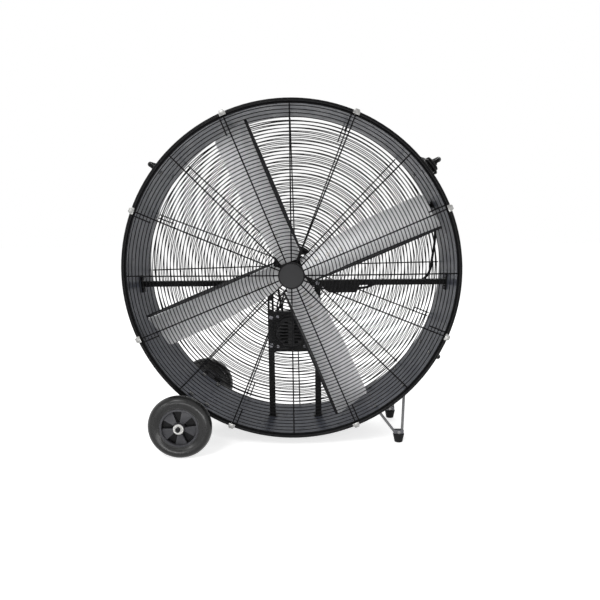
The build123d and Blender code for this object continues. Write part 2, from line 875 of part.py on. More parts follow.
def motor_body():
    body = bar_y(motor_radius, motor_body_front, motor_body_rear)
    body -= bar_y(motor_shaft_radius + 1, motor_body_front - 1, motor_body_rear + 1)
    body = Pos(motor_x, 0, motor_z) * body
    low = motor_z + motor_radius * 0.5
    left = motor_x - motor_bolt_x - terminal_length / 4
    body += slab(left, left + terminal_length, terminal_front, terminal_front + terminal_depth,
                 low, terminal_top)
    for x, z in motor_bolt_places():
        body -= Pos(x, 0, z) * bar_y(leg_bolt + 2, motor_body_front - 1, motor_body_front + 8)
    return body


def motor_rear_bell():
    bell = bar_y(motor_radius, motor_body_rear + seat_gap, motor_rear)
    rim = bell.edges().filter_by(GeomType.CIRCLE).sort_by(Axis.Y)[-1]
    bell = fillet(rim, 7)
    bell += bar_y(20, motor_rear - 2, motor_rear + rear_boss)
    bell -= bar_y(motor_shaft_radius + running_gap, motor_body_rear - 5, motor_rear + 20)
    return Pos(motor_x, 0, motor_z) * bell


def motor_bolts():
    rear = flange_front + motor_flange
    return group([Pos(x, 0, z) * front_bolt(leg_bolt, plate_front, rear)
                  for x, z in motor_bolt_places()])


def motor_shaft():
    return Pos(motor_x, 0, motor_z) * bar_y(motor_shaft_radius, motor_body_front + 30,
                                            belt_plane + pulley_width / 2 + 3)


# ---------------------------------------------------------------- wiring

def wire_box():
    low = box_top - box_height
    outline = Polyline((box_left, box_top), (box_right, box_top),
                       (box_right - box_right_slope, low), (box_left + box_slope, low), close=True)
    box = extrude(Plane.XZ * make_face(outline), -box_depth)
    inner = offset(make_face(outline), -box_wall)
    box = Pos(0, beam_front, 0) * box
    cavity = extrude(Plane.XZ * inner, -(box_depth - 2 * box_wall))
    box -= Pos(0, beam_front + box_wall, 0) * cavity
    y = (beam_front + beam_rear) / 2
    for x in box_bolts_x:
        box -= Pos(x, y, 0) * bar_z(clip_screw / 2 + hole_gap, box_top - 6, box_top + 5)
    for z in lead_levels():
        drill = Rot(0, 90, 0) * Cylinder(lead_radius + hole_gap, 2 * box_slope)
        box -= Pos(box_left, lead_y(), z) * drill
    drill = Rot(0, 90, 0) * Cylinder(cable_radius + hole_gap, 2 * box_right_slope)
    return box - Pos(box_right, cable_entry_y(), cable_entry_z()) * drill


def lead_levels():
    return [box_top - box_wall - lead_radius - 1, box_top - box_wall - 3 * lead_radius - 2.5]


def lead_y():
    return beam_front + box_depth - box_wall - lead_radius - 1


def cable_entry_y():
    return beam_front + box_depth - box_wall - cable_radius - 1


def cable_entry_z():
    return box_top - box_height / 2


def box_screws():
    """Heads on top of the beam, nuts inside the wire box or below the beam."""
    y = (beam_front + beam_rear) / 2
    screws = [Pos(x, y, 0) * bolt(clip_screw, box_top - box_wall, beam_top) for x in box_bolts_x]
    screws.append(Pos(along_beam(spare_bolt_at), y, 0) * bolt(clip_screw, beam_bottom, beam_top))
    for x, z in clip_screw_places():
        screws.append(Pos(x, 0, z) * Rot(-90, 0, 0) * clip_stud())
    return group(screws)


def clip_screw_places():
    return [(along_beam(share), beam_top - cable_ear_drop) for share in cable_clips_at]


def clip_stud():
    """Short screw through a cable clip's ear into the beam's rear wall."""
    return bar_z(1.5, beam_rear + seat_gap, clip_ear() + 1) + bar_z(3, clip_ear(), clip_ear() + 2)


def clip_ear():
    return beam_rear + 2 * seat_gap + 2


def cable_axis_y():
    return beam_rear + cable_radius + 1.2


def cable_z():
    return (beam_top + beam_bottom) / 2 - 4


def cable_clips():
    clips = []
    for x, ear_z in clip_screw_places():
        clip = slab(x - 6, x + 6, beam_rear + seat_gap, cable_axis_y() + cable_radius + 2,
                    cable_z() - cable_radius - 2, cable_z() + cable_radius + 2)
        clip += slab(x - 6, x + 6, beam_rear + seat_gap, clip_ear() - seat_gap,
                     cable_z(), beam_top)
        hollow = Rot(0, 90, 0) * Cylinder(cable_radius + hole_gap, 20)
        clip -= Pos(x, cable_axis_y(), cable_z()) * hollow
        clip -= Pos(x, 0, ear_z) * bar_y(1.5 + hole_gap, beam_rear - 5, clip_ear() + 5)
        clips.append(clip)
    return group(clips)


def gland_axis():
    """Distance of the outlet's axis from the drum's axis."""
    return wall_inner - gland_nut_seat() - gland_nut_height - gland_elbow


def gland_nut_seat():
    return 3 * seat_gap


def cable_gland():
    """Elbow: threaded neck through the wall with a nut inside, outlet downwards along the wall."""
    nut_low = wall_inner - gland_nut_seat() - gland_nut_height
    body = bar_z(gland_thread, nut_low - 1, wall_outer + 3 + switch_wall)
    body += Pos(0, 0, nut_low) * hexagon(2 * gland_nut, gland_nut_height)
    body += bar_z(cable_radius + 3.5, gland_axis(), nut_low + 0.5)
    body += Pos(0, 0, gland_axis()) * Sphere(cable_radius + 3.5)
    middle = Pos(gland_outlet / 2, 0, gland_axis()) * Rot(0, 90, 0)
    body += middle * Cylinder(cable_radius + 3.5, gland_outlet)
    body += Pos(gland_outlet - 5, 0, gland_axis()) * Rot(0, 90, 0) * Cylinder(gland_nut - 1.5, 10)
    body -= Pos(gland_outlet, 0, gland_axis()) * Rot(0, 90, 0) * Cylinder(
        cable_radius + running_gap, 20)
    return wall_plane(gland_angle) * Pos(0, gland_y, 0) * body


def inner_cable():
    """Down the wall, behind the beam to its underside and into the wire box."""
    a = radians(gland_angle)
    down = Vector(sin(a), 0, -cos(a))
    start = Vector(cos(a), 0, sin(a)) * gland_axis() + down * (gland_outlet - 10) + Vector(0, gland_y, 0)
    first = start + down * 36
    down_wall = [(38, 52, 137), (39, 48, 98), (45, 45, 58), (51, 42, 20), (58, 39, -18)]
    points = [tuple(start), tuple(first)] + [(wall_inner - x, y, z) for x, y, z in down_wall]
    y, z = cable_axis_y(), cable_z()
    points.append((cable_turn_x, y, -46))
    beside_beam = [(0.832, 0, 0), (0.637, 0, 0.1), (0.478, 0, -0.1), (0.336, 0, 0),
                   (0.2345, 1, -6), (0.146, 0, -15)]
    points += [(along_beam(share), y + dy, z + dz) for share, dy, dz in beside_beam]
    y, z = cable_entry_y(), cable_entry_z()
    points += [(along_beam(0.0487), y, z), (box_right - box_right_slope, y, z)]
    return tube(points, cable_radius, "inner_cable")


def motor_leads():
    """Two insulated leads from the wire box to the motor's terminal box."""
    inside = box_left + box_slope
    end = terminal_top + seat_gap
    high, low = lead_levels()
    y = lead_y()
    upper = [(inside, y, high), (72, y, high), (30, y + 1, high - 1), (-8, y + 1, high - 6),
             (-36, y + 2, -82), (-54, y + 3, -103), (-63, y + 5, -128), (-63, y + 5, end)]
    lower = [(inside, y, low), (72, y, low), (34, y + 1, low - 2), (2, y + 2, low - 8),
             (-22, y + 4, -94), (-38, y + 6, -110), (-44, y + 8, -130), (-44, y + 8, end)]
    return group([tube(upper, lead_radius, "motor lead 1"), tube(lower, lead_radius, "motor lead 2")])


# ---------------------------------------------------------------- switch box

def outside_drum(shape):
    return shape - bar_y(wall_outer + seat_gap, -rim_y, rim_y)


def switch_top():
    return wall_outer + switch_height


def switch_box():
    half_x, half_y = switch_width / 2, switch_length / 2
    low, top = wall_outer - 3, switch_top()
    box = slab(-half_x, half_x, -half_y, half_y, low, top)
    box = fillet(box.edges().filter_by(Axis.Z), 5)
    cavity = slab(switch_wall - half_x, half_x - switch_wall, switch_wall - half_y,
                  half_y - switch_wall, wall_outer + switch_wall, top + 1)
    box -= cavity
    box -= Pos(-half_x, 0, wall_outer + relief_height) * Rot(0, 90, 0) * Cylinder(
        relief_base - 2, 4 * switch_wall)
    box = outside_drum(wall_plane(switch_angle) * Pos(0, switch_y, 0) * box)
    box = bolt_holes(box, switch_screw_places(), clip_screw)
    hole = bar_z(gland_thread + hole_gap, wall_outer - 5, wall_outer + 12)
    return box - wall_plane(gland_angle) * Pos(0, gland_y, 0) * hole


def switch_lid():
    lid = slab(-switch_width / 2, switch_width / 2, -switch_length / 2, switch_length / 2,
               switch_top() + seat_gap, switch_top() + seat_gap + lid_sheet)
    lid = fillet(lid.edges().filter_by(Axis.Z), 5)
    lid -= bar_z(knob_stem + running_gap, switch_top() - 1, switch_top() + 10)
    return wall_plane(switch_angle) * Pos(0, switch_y, 0) * lid


def switch_knob():
    base = switch_top() + seat_gap + lid_sheet + body_gap
    knob = bar_z(knob_radius, base, base + 4)
    knob += slab(-4, 4, -knob_radius + 1, knob_radius - 1, base, base + knob_height)
    knob += bar_z(knob_radius - 4, base, base + knob_height - 3)
    knob += bar_z(knob_stem, switch_top() - 12, base + 1)
    return wall_plane(switch_angle) * Pos(0, switch_y, 0) * knob


def switch_screws():
    """Box screws in from the drum side, nuts inside the box."""
    screws = []
    for angle, y in switch_screw_places():
        one = bolt(clip_screw, wall_inner - seat_gap, wall_outer + switch_wall)
        screws.append(wall_plane(angle) * Pos(0, y, 0) * one)
    return group(screws)


# ---------------------------------------------------------------- handles

def handle(angle, tip):
    bar = tip - grip_radius
    foot = wall_outer + seat_gap
    points = [(0, -handle_half, foot + 1), (0, -handle_half, bar), (0, handle_half, bar),
              (0, handle_half, foot + 1)]
    path = FilletPolyline(*points, radius=handle_bend).wire()
    rod = sweep(Plane(origin=path @ 0, z_dir=path % 0) * Circle(handle_rod), path=path)
    for y in (-handle_half, handle_half):
        rod += Pos(0, y, 0) * bar_z(handle_foot, foot - 2, foot + handle_foot_sheet)
        if (angle, tip) == right_handle:
            low = winding_top() + 1
            rod += Pos(0, y, 0) * bar_z(collar_radius, low, low + collar_height)
    rod = outside_drum(wall_plane(angle) * rod)
    hole = bar_z(handle_screw / 2 + hole_gap, wall_inner - 5, wall_inner + handle_screw_depth)
    for y in (-handle_half, handle_half):
        rod -= wall_plane(angle) * Pos(0, y, 0) * hole
    return rod


def handle_grips():
    grips = []
    for angle, tip in (left_handle, right_handle, lower_handle):
        half = handle_half - handle_bend - 1
        sleeve = shell_y(handle_rod + seat_gap, grip_radius, -half, half)
        grips.append(wall_plane(angle) * Pos(0, 0, tip - grip_radius) * sleeve)
    return group(grips)


def handle_screws():
    screws = []
    seat = wall_inner - 2 * seat_gap
    for angle, y in handle_places():
        screw = bar_z(handle_screw / 2, seat - 1, wall_inner + handle_screw_depth - 2)
        screw += bar_z(handle_screw, seat - 3.5, seat)
        screws.append(wall_plane(angle) * Pos(0, y, 0) * screw)
    return group(screws)


# ---------------------------------------------------------------- power cord

def winding_top():
    return winding_base + 3 * cord_pitch + cord_radius


def first_offset():
    return handle_rod + cord_radius + winding_slack


def winding_levels():
    """Sideways offsets of the runs in each layer: in, out, in, and out again for three halves."""
    half = cord_pitch / 2
    inner = first_offset()
    inward = [inner + half * k for k in range(2 * winding_turns, -1, -1)]
    outward = inward[::-1]
    return [inward, outward, inward, outward[:4]]


def winding_path():
    """Turns round both legs of the handle, drawn in its wall plane."""
    edges = []
    side = 1
    levels = winding_levels()
    z = winding_base
    here = Vector(side * levels[0][0], winding_start_y, z)
    for layer, offsets in enumerate(levels):
        for k, (now, after) in enumerate(zip(offsets, offsets[1:])):
            heading = -side
            leg = heading * handle_half
            z_next = winding_base + cord_pitch * layer
            turn_start = Vector(side * now, leg, z_next)
            edges += run_edges(here, turn_start, heading)
            middle = Vector(side * (now - after) / 2, leg + heading * (now + after) / 2, z_next)
            turn_end = Vector(-side * after, leg, z_next)
            edges.append(ThreePointArc(turn_start, middle, turn_end).edge())
            here = turn_end
            side = -side
    edges.append(Line(here, Vector(here.X, winding_end_y, here.Z)).edge())
    return Wire(edges)


def run_edges(start, end, heading):
    """A straight run, or a double bend where the cord climbs a layer."""
    if abs(start.Z - end.Z) < 0.01:
        return [Line(start, end).edge()]
    along = Vector(0, heading, 0)
    middle = (start + end) * 0.5
    first = TangentArc(start, middle, tangent=along)
    second = TangentArc(middle, end, tangent=first % 1)
    return [first.edge(), second.edge()]


def least_gap(wire, step):
    """Least distance between turns, measured on points and less the cord's diameter."""
    count = ceil(wire.length / step)
    points = [wire.position_at(k / count) for k in range(count + 1)]
    skip = ceil(12 * cord_radius / step)
    least = 1e9
    for i, p in enumerate(points):
        for q in points[i + skip:]:
            gap = (p.X - q.X) ** 2 + (p.Y - q.Y) ** 2 + (p.Z - q.Z) ** 2
            least = min(least, gap)
    return sqrt(least) - 2 * cord_radius


def cord_winding():
    path = winding_path()
    section = Plane(origin=path @ 0, z_dir=path % 0) * Circle(cord_radius)
    solid = sweep(section, path=path)
    ideal = pi * cord_radius ** 2 * path.length
    print("cord_winding length", round(path.length, 1), "least gap", round(least_gap(path, 5), 2),
          "volume ratio", round(solid.volume / ideal, 5))
    return wall_plane(right_handle_angle) * solid


def relief_exit():
    """Tip of the strain relief and its direction, in the right handle's wall plane."""
    swing = radians(right_handle_angle - switch_angle)
    reach = switch_width / 2 + relief_length
    radius = wall_outer + relief_height
    x = radius * sin(swing) - reach * cos(swing)
    z = radius * cos(swing) + reach * sin(swing)
    return Vector(x, switch_y, z), Vector(-cos(swing), 0, sin(swing))


def strain_relief():
    height = wall_outer + relief_height
    neck = Pos(-switch_width / 2 + switch_wall / 2, 0, height) * Rot(0, 90, 0) * Cylinder(
        relief_base - 2 - hole_gap, switch_wall + 4)
    cone = Pos(-switch_width / 2 - relief_length / 2 - seat_gap, 0, height) * Rot(0, -90, 0) * Cone(
        relief_base, relief_tip, relief_length)
    return wall_plane(switch_angle) * Pos(0, switch_y, 0) * (neck + cone)


def cord_lead():
    tip, direction = relief_exit()
    start = tip + direction * (2 * seat_gap)
    bend = start + direction * 32
    x = winding_levels()[0][0]
    points = [start, bend, Vector(x, switch_y - 32, winding_base),
              Vector(x, winding_start_y + seat_gap, winding_base)]
    return wall_plane(right_handle_angle) * tube([tuple(p) for p in points], cord_radius, "cord_lead")


def tail_points():
    x = -winding_levels()[3][-1]
    z = winding_base + 3 * cord_pitch
    y = winding_end_y + seat_gap
    return [(x, y, z), (x, y + 30, z), (x - 14, y + 62, z - 3), (x - 27, y + 92, z - 15),
            (x - 34, y + 122, z - 27), (x - 34, y + 150, z - 27)]


def cord_tail():
    return wall_plane(right_handle_angle) * tube(tail_points(), cord_radius, "cord_tail")


def plug():
    """Moulded plug with a tapered neck, lying along the drum beside the winding."""
    x, y, z = tail_points()[-1]
    start = y + seat_gap
    neck = Pos(x, start + plug_neck / 2, z) * Rot(-90, 0, 0) * Cone(relief_tip, plug_height / 2 - 2,
                                                                 plug_neck)
    body = slab(x - plug_width / 2, x + plug_width / 2, start + plug_neck - 0.5,
                start + plug_neck + plug_length, z - plug_height / 2, z + plug_height / 2)
    body = fillet(body.edges().filter_by(Axis.Y), 8)
    shape = neck + body
    face = start + plug_neck + plug_length
    for dx in (-6.35, 6.35):
        shape += slab(x + dx - 0.8, x + dx + 0.8, face - 1, face + prong_length, z - 3, z + 3)
    shape += Pos(x, 0, z - 7) * bar_y(2.4, face - 1, face + prong_length)
    return wall_plane(right_handle_angle) * shape


# ---------------------------------------------------------------- wheels

def wheel_place(side):
    return Pos(wheel_x, side * wheel_y, -wheel_drop)


def tyre(side):
    profile = Pos((wheel_radius + tyre_inner) / 2, 0) * RectangleRounded(
        wheel_radius - tyre_inner, tyre_width, tyre_round)
    return wheel_place(side) * revolve(profile, Axis.Y)


def wheel_hub(side):
    outer = tyre_inner - seat_gap
    half = tyre_width / 2 - 3
    hub = shell_y(outer - wheel_hub_rim, outer, -half, half)
    hub += bar_y(wheel_boss, -wheel_hub_width / 2, wheel_hub_width / 2)
    hub += bar_y(outer - 1, -wheel_web / 2, wheel_web / 2)
    rib = slab(wheel_boss - 3, outer - wheel_hub_rim + 2, -half + 5, half - 5, -2.5, 2.5)
    for k in range(wheel_ribs):
        hub += turned(360 / wheel_ribs * k) * rib
    hub -= bar_y(axle_radius + running_gap, -wheel_hub_width, wheel_hub_width)
    return wheel_place(side) * hub


def wheel_axle():
    shoulder = wheel_y - wheel_hub_width / 2 - body_gap - washer_sheet - seat_gap
    axle = bar_y(axle_tube, -shoulder, shoulder) + bar_y(axle_radius, -axle_end, axle_end)
    for s in sides:
        axle -= Pos(0, s * pin_y(), 0) * Rot(0, 90, 0) * Cylinder(pin_radius + hole_gap, 40)
    return Pos(wheel_x, 0, -wheel_drop) * axle


def pin_y():
    return wheel_y + wheel_hub_width / 2 + body_gap + washer_sheet + seat_gap + pin_radius + 0.4


def axle_washers():
    washers = []
    for s in sides:
        outer = wheel_y + wheel_hub_width / 2 + body_gap
        inner = wheel_y - wheel_hub_width / 2 - body_gap - washer_sheet
        for low in (outer, inner):
            a, b = sorted((s * low, s * (low + washer_sheet)))
            ring = shell_y(axle_radius + hole_gap, washer_radius, a, b)
            washers.append(Pos(wheel_x, 0, -wheel_drop) * ring)
    return group(washers)


def axle_pins():
    pins = []
    for s in sides:
        pin = Rot(0, 90, 0) * Cylinder(pin_radius, 2 * axle_radius + 9)
        pins.append(Pos(wheel_x, s * pin_y(), -wheel_drop) * pin)
    return group(pins)


def outer_pad(x, width, length, sheet):
    """Curved foot plate on the outside of the drum, centred at x along the wall."""
    layer = shell_y(wall_outer - 5, wall_outer + seat_gap + sheet, -length / 2, length / 2)
    window = slab(-width / 2, width / 2, -length, length, wall_outer - 20, wall_outer + 40)
    return layer & (Rot(0, degrees(x / wall_outer), 0) * window)


def axle_brackets():
    brackets = []
    for y in (-bracket_y, bracket_y):
        low = wall_outer - 4
        outline = Polyline((-bracket_half, low), (bracket_half, low),
                           (bracket_half, wall_outer + 4), (bracket_ring, axle_reach),
                           (-bracket_ring, axle_reach), (-bracket_half, wall_outer + 4),
                           close=True)
        web = make_face(outline) + Pos(0, axle_reach) * Circle(bracket_ring)
        plate = extrude(Plane.XZ * web, bracket_sheet / 2, both=True)
        for s in sides:
            x = s * (bracket_half - bracket_pad / 2)
            plate -= slab(x - bracket_pad / 2, x + bracket_pad / 2, -bracket_pad, bracket_pad,
                          wall_outer - 5, wall_outer + bracket_pad)
            plate += outer_pad(s * (bracket_half - bracket_pad / 2), bracket_pad, bracket_pad,
                               bracket_pad_sheet)
        plate -= Pos(0, 0, axle_reach) * bar_y(axle_tube + hole_gap, -20, 20)
        placed = outside_drum(wall_plane(axle_side) * Pos(0, y, 0) * plate)
        brackets.append(bolt_holes(placed, bracket_places(), frame_bolt))
    return group(brackets)


def bracket_bolts():
    top = wall_outer + bracket_pad_sheet + 2 * seat_gap
    return group([wall_plane(angle) * Pos(0, y, 0) * bolt(frame_bolt, wall_inner - seat_gap, top)
                  for angle, y in bracket_places()])


# ---------------------------------------------------------------- legs

def leg_rod_between(start, end):
    direction = end - start
    section = Plane(origin=start, z_dir=direction.normalized()) * Circle(leg_rod)
    return extrude(section, direction.length)


def bracket_floor():
    """Underside of the leg bracket, inside the rubber foot."""
    return floor + foot_height - 2 * leg_bracket_sheet


def leg(side):
    """Two rods that end together in the foot bracket, each with a curved pad on the drum."""
    pieces = []
    for angle, x_end in ((leg_inner_angle, leg_inner_x), (leg_outer_angle, leg_outer_x)):
        a = radians(angle)
        start = Vector(wall_outer * cos(a), side * leg_y, wall_outer * sin(a))
        seat = bracket_floor() + leg_bracket_sheet + seat_gap
        end = Vector(x_end, side * leg_y, seat)
        rod = leg_rod_between(start, end + (end - start).normalized() * 2 * leg_rod)
        rod -= slab(0, wall_inner, -rim_y, rim_y, seat - 4 * leg_rod, seat)
        pad = outer_pad(0, leg_pad_width, leg_pad_length, leg_pad_sheet)
        pad = wall_plane(angle) * Pos(0, side * leg_y, 0) * pad
        piece = outside_drum(rod + pad)
        pieces.append(bolt_holes(piece, leg_places(), leg_bolt))
    return group(pieces)


def leg_brackets():
    brackets = []
    for s in sides:
        inner = leg_rod + seat_gap
        outer = inner + leg_bracket_sheet
        low = bracket_floor()
        half = leg_bracket_width / 2
        shape = slab(-half, half, -outer, outer, low, low + leg_bracket_height)
        shape -= slab(-half - 1, half + 1, -inner, inner, low + leg_bracket_sheet,
                      low + leg_bracket_height + 1)
        shape = Pos(foot_x, 0, 0) * shape
        shape -= Pos(foot_x, 0, leg_bolt_z()) * bar_y(leg_bolt / 2 + hole_gap, -20, 20)
        brackets.append(Pos(0, s * leg_y, 0) * shape)
    return group(brackets)


def leg_bolt_z():
    return bracket_floor() + leg_bracket_height - 8


def rubber_foot(side):
    foot = Pos(0, 0, floor + foot_height / 2) * Cone(foot_bottom, foot_top, foot_height)
    foot = fillet(foot.edges().filter_by(GeomType.CIRCLE).sort_by(Axis.Z)[-1], 2)
    half = leg_bracket_width / 2 + hole_gap
    deep = leg_rod + leg_bracket_sheet + seat_gap + hole_gap
    foot -= slab(-half, half, -deep, deep, bracket_floor() - seat_gap, floor + foot_height + 5)
    return Pos(foot_x, side * leg_y, 0) * foot


def leg_bolts():
    bolts = []
    for angle, y in leg_places():
        top = wall_outer + leg_pad_sheet + 2 * seat_gap
        bolts.append(wall_plane(angle) * Pos(0, y, 0) * bolt(leg_bolt, wall_inner - seat_gap, top))
    half = leg_rod + seat_gap + leg_bracket_sheet
    for s in sides:
        bolts.append(Pos(foot_x, s * leg_y, leg_bolt_z()) * front_bolt(leg_bolt, -half, half))
    return group(bolts)


# ---------------------------------------------------------------- write the pieces

def write(node, shape):
    lifted = Pos(0, 0, axis_height) * shape
    export_step(lifted, "parts/" + node + ".step")


def build():
    os.makedirs("parts", exist_ok=True)
    write("drum_shell", drum_shell())
    for name, side, turn in (("front", -1, 0), ("rear", 1, rear_guard_turn)):
        write(name + "_guard_spokes", guard_spokes(side, turn))
        write(name + "_guard_rings", guard_rings(side, turn))
        write(name + "_cap", guard_cap(side, turn))
        write(name + "_tyre", tyre(side))
        write(name + "_wheel_hub", wheel_hub(side))
    write("badge_plate", badge_plate())
    write("guard_clips", guard_clips())
    write("small_screws", group([clip_screws(), box_screws(), switch_screws()]))
    write("hub_spider", hub_spider())
    for k, one in enumerate(blades(), 1):
        write("blade_" + str(k), one)
    write("blade_bolts", blade_bolts())
    write("fan_shaft", fan_shaft())
    write("fan_pulley", fan_pulley())
    write("motor_pulley", motor_pulley())
    write("drive_belt", drive_belt())
    write("cross_beam", cross_beam())
    write("bearing_saddle", bearing_saddle())
    write("front_bearing", bearing_block(front_bearing_y))
    write("rear_bearing", bearing_block(rear_bearing_y))
    write("left_upright", upright(-1))
    write("right_upright", upright(1))
    write("motor_plate", motor_plate())
    write("frame_bolts", group([frame_bolts(), motor_bolts()]))
    write("motor_front_bell", motor_front_bell())
    write("motor_body", motor_body())
    write("motor_rear_bell", motor_rear_bell())
    write("motor_shaft", motor_shaft())
    write("wire_box", wire_box())
    write("cable_clips", cable_clips())
    write("cable_gland", cable_gland())
    write("inner_cable", inner_cable())
    write("motor_leads", motor_leads())
    write("switch_box", switch_box())
    write("switch_lid", switch_lid())
    write("switch_knob", switch_knob())
    write("left_handle", handle(*left_handle))
    write("right_handle", handle(*right_handle))
    write("lower_handle", handle(*lower_handle))
    write("handle_grips", handle_grips())
    write("wall_bolts", group([handle_screws(), bracket_bolts(), leg_bolts()]))
    write("strain_relief", strain_relief())
    write("cord_lead", cord_lead())
    write("cord_winding", cord_winding())
    write("cord_tail", cord_tail())
    write("plug", plug())
    write("wheel_axle", wheel_axle())
    write("axle_brackets", axle_brackets())
    write("axle_washers", group([axle_washers(), axle_pins()]))
    write("leg_rods", group([leg(side) for side in sides]))
    write("leg_brackets", leg_brackets())
    write("rubber_feet", group([rubber_foot(side) for side in sides]))


build()
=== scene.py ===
"""Drum fan on two wheels and two rubber feet: the visible pieces, their finishes and the studio."""
from math import atan2, cos, pi, radians, sin, sqrt, tan

import bpy
from mathutils import Matrix, Vector

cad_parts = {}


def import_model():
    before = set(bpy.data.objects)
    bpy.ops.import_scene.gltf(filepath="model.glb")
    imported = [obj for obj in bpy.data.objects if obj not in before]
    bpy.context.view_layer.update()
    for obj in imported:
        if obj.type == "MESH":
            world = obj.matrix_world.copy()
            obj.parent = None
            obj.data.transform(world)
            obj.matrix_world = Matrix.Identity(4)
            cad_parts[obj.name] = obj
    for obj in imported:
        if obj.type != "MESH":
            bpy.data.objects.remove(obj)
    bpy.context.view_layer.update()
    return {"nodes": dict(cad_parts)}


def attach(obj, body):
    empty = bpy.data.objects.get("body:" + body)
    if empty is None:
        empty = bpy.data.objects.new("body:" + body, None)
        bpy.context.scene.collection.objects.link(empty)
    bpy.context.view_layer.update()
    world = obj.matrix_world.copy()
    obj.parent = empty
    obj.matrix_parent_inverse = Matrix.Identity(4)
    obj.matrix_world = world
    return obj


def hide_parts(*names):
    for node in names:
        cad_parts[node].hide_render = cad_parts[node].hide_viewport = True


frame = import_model()
nodes = frame["nodes"]

# ------------------------------------------------------------------ sizes
# Lengths in metres. Angles in degrees, counter-clockwise from the right as seen from the front.

axis_height = 0.589                    # the drum's axis above the floor
rim_y = 0.170                          # the rims before and behind the drum's middle
outside_from = 0.5476                  # distance from the axis where the drum's outer skin begins
bead_depth = 0.0155                    # the rolled bead takes up this much behind each rim, all of it in painted shade
blend = 0.0004                         # width of the change from one painted tone of the drum to the next

guard_reach = 0.545                    # radius of a guard at its edge
guard_dome = 0.022                     # its middle stands out this much
guard_proud = 0.0001                   # its edge stands this much before the rim
spoke_wire = 0.0045
frame_wire = 0.0048
ring_wire = 0.0030
ring_steps = 176                       # corners round a ring wire
first_ring = 0.5343                    # radius of the outermost ring wire
ring_pitch = 0.01164
ring_count = 42                        # on the rear guard the first of them is the frame ring
front_rings_off = (-0.0019, 0.0020)    # sideways and up: the front ring wires sit off the axis
rear_guard_turn = 1.2                  # its radial wires and clips are turned this much
weld_gap = 0.00005                     # left between wires, so that no faces coincide
hub_plate_radius = 0.040
hub_plate_sheet = 0.002

clip_angles = [22.5 + 45 * k for k in range(8)]
clip_seat = -0.17097                   # the clip's back, on the front bead
clip_sheet = 0.0015
clip_width = 0.0130
clip_leg = 0.0145
clip_hook = 0.0036

blade_turns = (112.4, 202.4, 292.4, 382.4)
edge_from, edge_to = 0.046, 0.525      # the rolled edge along each blade, a bead painted near black as shade
edge_tip = 0.0015                      # length of its rounded ends
edge_side = 0.0538                     # clockwise of the blade's own line
edge_y = -0.0832
edge_lean = 15.0
edge_flatness = 0.5                    # its thickness over its width

wheel_x = -0.368
wheel_y = 0.256
wheel_z = 0.105
hub_bore = 0.0083
web_half = 0.0020
wheel_vanes = 5
first_vane = 39.0
vane_spread = 40.0
vane_inner, vane_inner_rise = 0.0172, 0.0135    # radius, and height at its clockwise end
vane_outer, vane_outer_rise = 0.0568, 0.0105
vane_climb = 0.0045                    # from its clockwise end to the other
pocket_shade_top = 0.007                    # painted shade up to this height beside the wheel's middle
vane_face = 0.0115                     # no painted shade from this height

handle_half = 0.092                    # a handle's legs stand this far from its middle
grip_radius = 0.009
grip_bore = 0.00645
grip_half = handle_half - 0.017
grip_ribs = 30
# Each handle's angle, and how far its grip reaches from the drum's axis.
handles = {"left": (142.2, 0.604), "right": (37.2, 0.625), "lower": (-30.9, 0.596)}

cord_radius = 0.004
cord_pitch = 0.0087
winding_angle = handles["right"][0]
winding_base = 0.562                   # the first layer's distance from the drum's axis
winding_top = winding_base + 3 * cord_pitch
winding_turns = 2                      # in each layer
winding_start_y = 0.005
winding_end_y = -0.070
first_turn = 0.0112                    # the innermost run stands this far beside the handle's legs
tail_in = 0.027                        # the plug's axis lies this much nearer to the drum
plug_x, plug_y, plug_z = -0.0583, 0.0802, winding_top - tail_in

motor_x = -0.012
motor_z = axis_height - 0.223
motor_radius = 0.065                   # over the fins
motor_core = 0.0606                    # between the fins
motor_fins = 30
motor_front, motor_rear = 0.0133, 0.0973
bell_face = 0.0062                     # the front bell's face stands this far before the plate
louvre_pitch = 0.012
louvre_inner, louvre_outer = 0.0105, 0.0435
louvre_depth, louvre_height = 0.012, 0.0056
louvre_tilt = (0.35, 0, 0)             # radians
slot_shade_from, slot_shade_full = 0.0015, 0.0020  # depth behind the bell's face where the painted shade inside the louvres begins and where it is full
terminal_x, terminal_y = -0.049, 0.037
terminal_top = axis_height - 0.152
terminal_gap = 0.003                   # between the terminal box and the top of its lid


# ------------------------------------------------------------------ modelling helpers

def linked(obj):
    bpy.context.scene.collection.objects.link(obj)
    return obj


def pick(*objects):
    """Select these objects alone, with the first as the active one."""
    bpy.ops.object.select_all(action="DESELECT")
    for obj in objects:
        obj.select_set(True)
    bpy.context.view_layer.objects.active = objects[0]


def settle(obj):
    """Put the object's place, turn and scale into its mesh."""
    pick(obj)
    bpy.ops.object.transform_apply(location=True, rotation=True, scale=True)
    return obj


def joined(objects, name):
    """One object of several, with its origin at the frame's."""
    for obj in objects:
        settle(obj)
    pick(*objects)
    bpy.ops.object.join()
    obj = bpy.context.object
    obj.name = name
    obj.data.name = name
    return obj


def copied(obj, matrix):
    """A copy with its own mesh, moved by the matrix."""
    twin = linked(obj.copy())
    twin.data = obj.data.copy()
    twin.data.transform(matrix)
    return twin


def bevelled(obj, width, segments=2):
    """Round every edge sharper than 30 degrees."""
    bevel = obj.modifiers.new("edge", "BEVEL")
    bevel.width = width
    bevel.segments = segments
    bevel.limit_method = "ANGLE"
    bevel.angle_limit = radians(30)
    pick(obj)
    bpy.ops.object.modifier_apply(modifier="edge")
    return obj


def smoothed(obj, angle):
    pick(obj)
    bpy.ops.object.shade_smooth_by_angle(angle=radians(angle))


def outward(obj):
    """Merge doubles and turn every face outwards."""
    pick(obj)
    bpy.ops.object.mode_set(mode="EDIT")
    bpy.ops.mesh.select_all(action="SELECT")
    bpy.ops.mesh.remove_doubles(threshold=0.00001)
    bpy.ops.mesh.normals_make_consistent(inside=False)
    bpy.ops.object.mode_set(mode="OBJECT")
    return obj


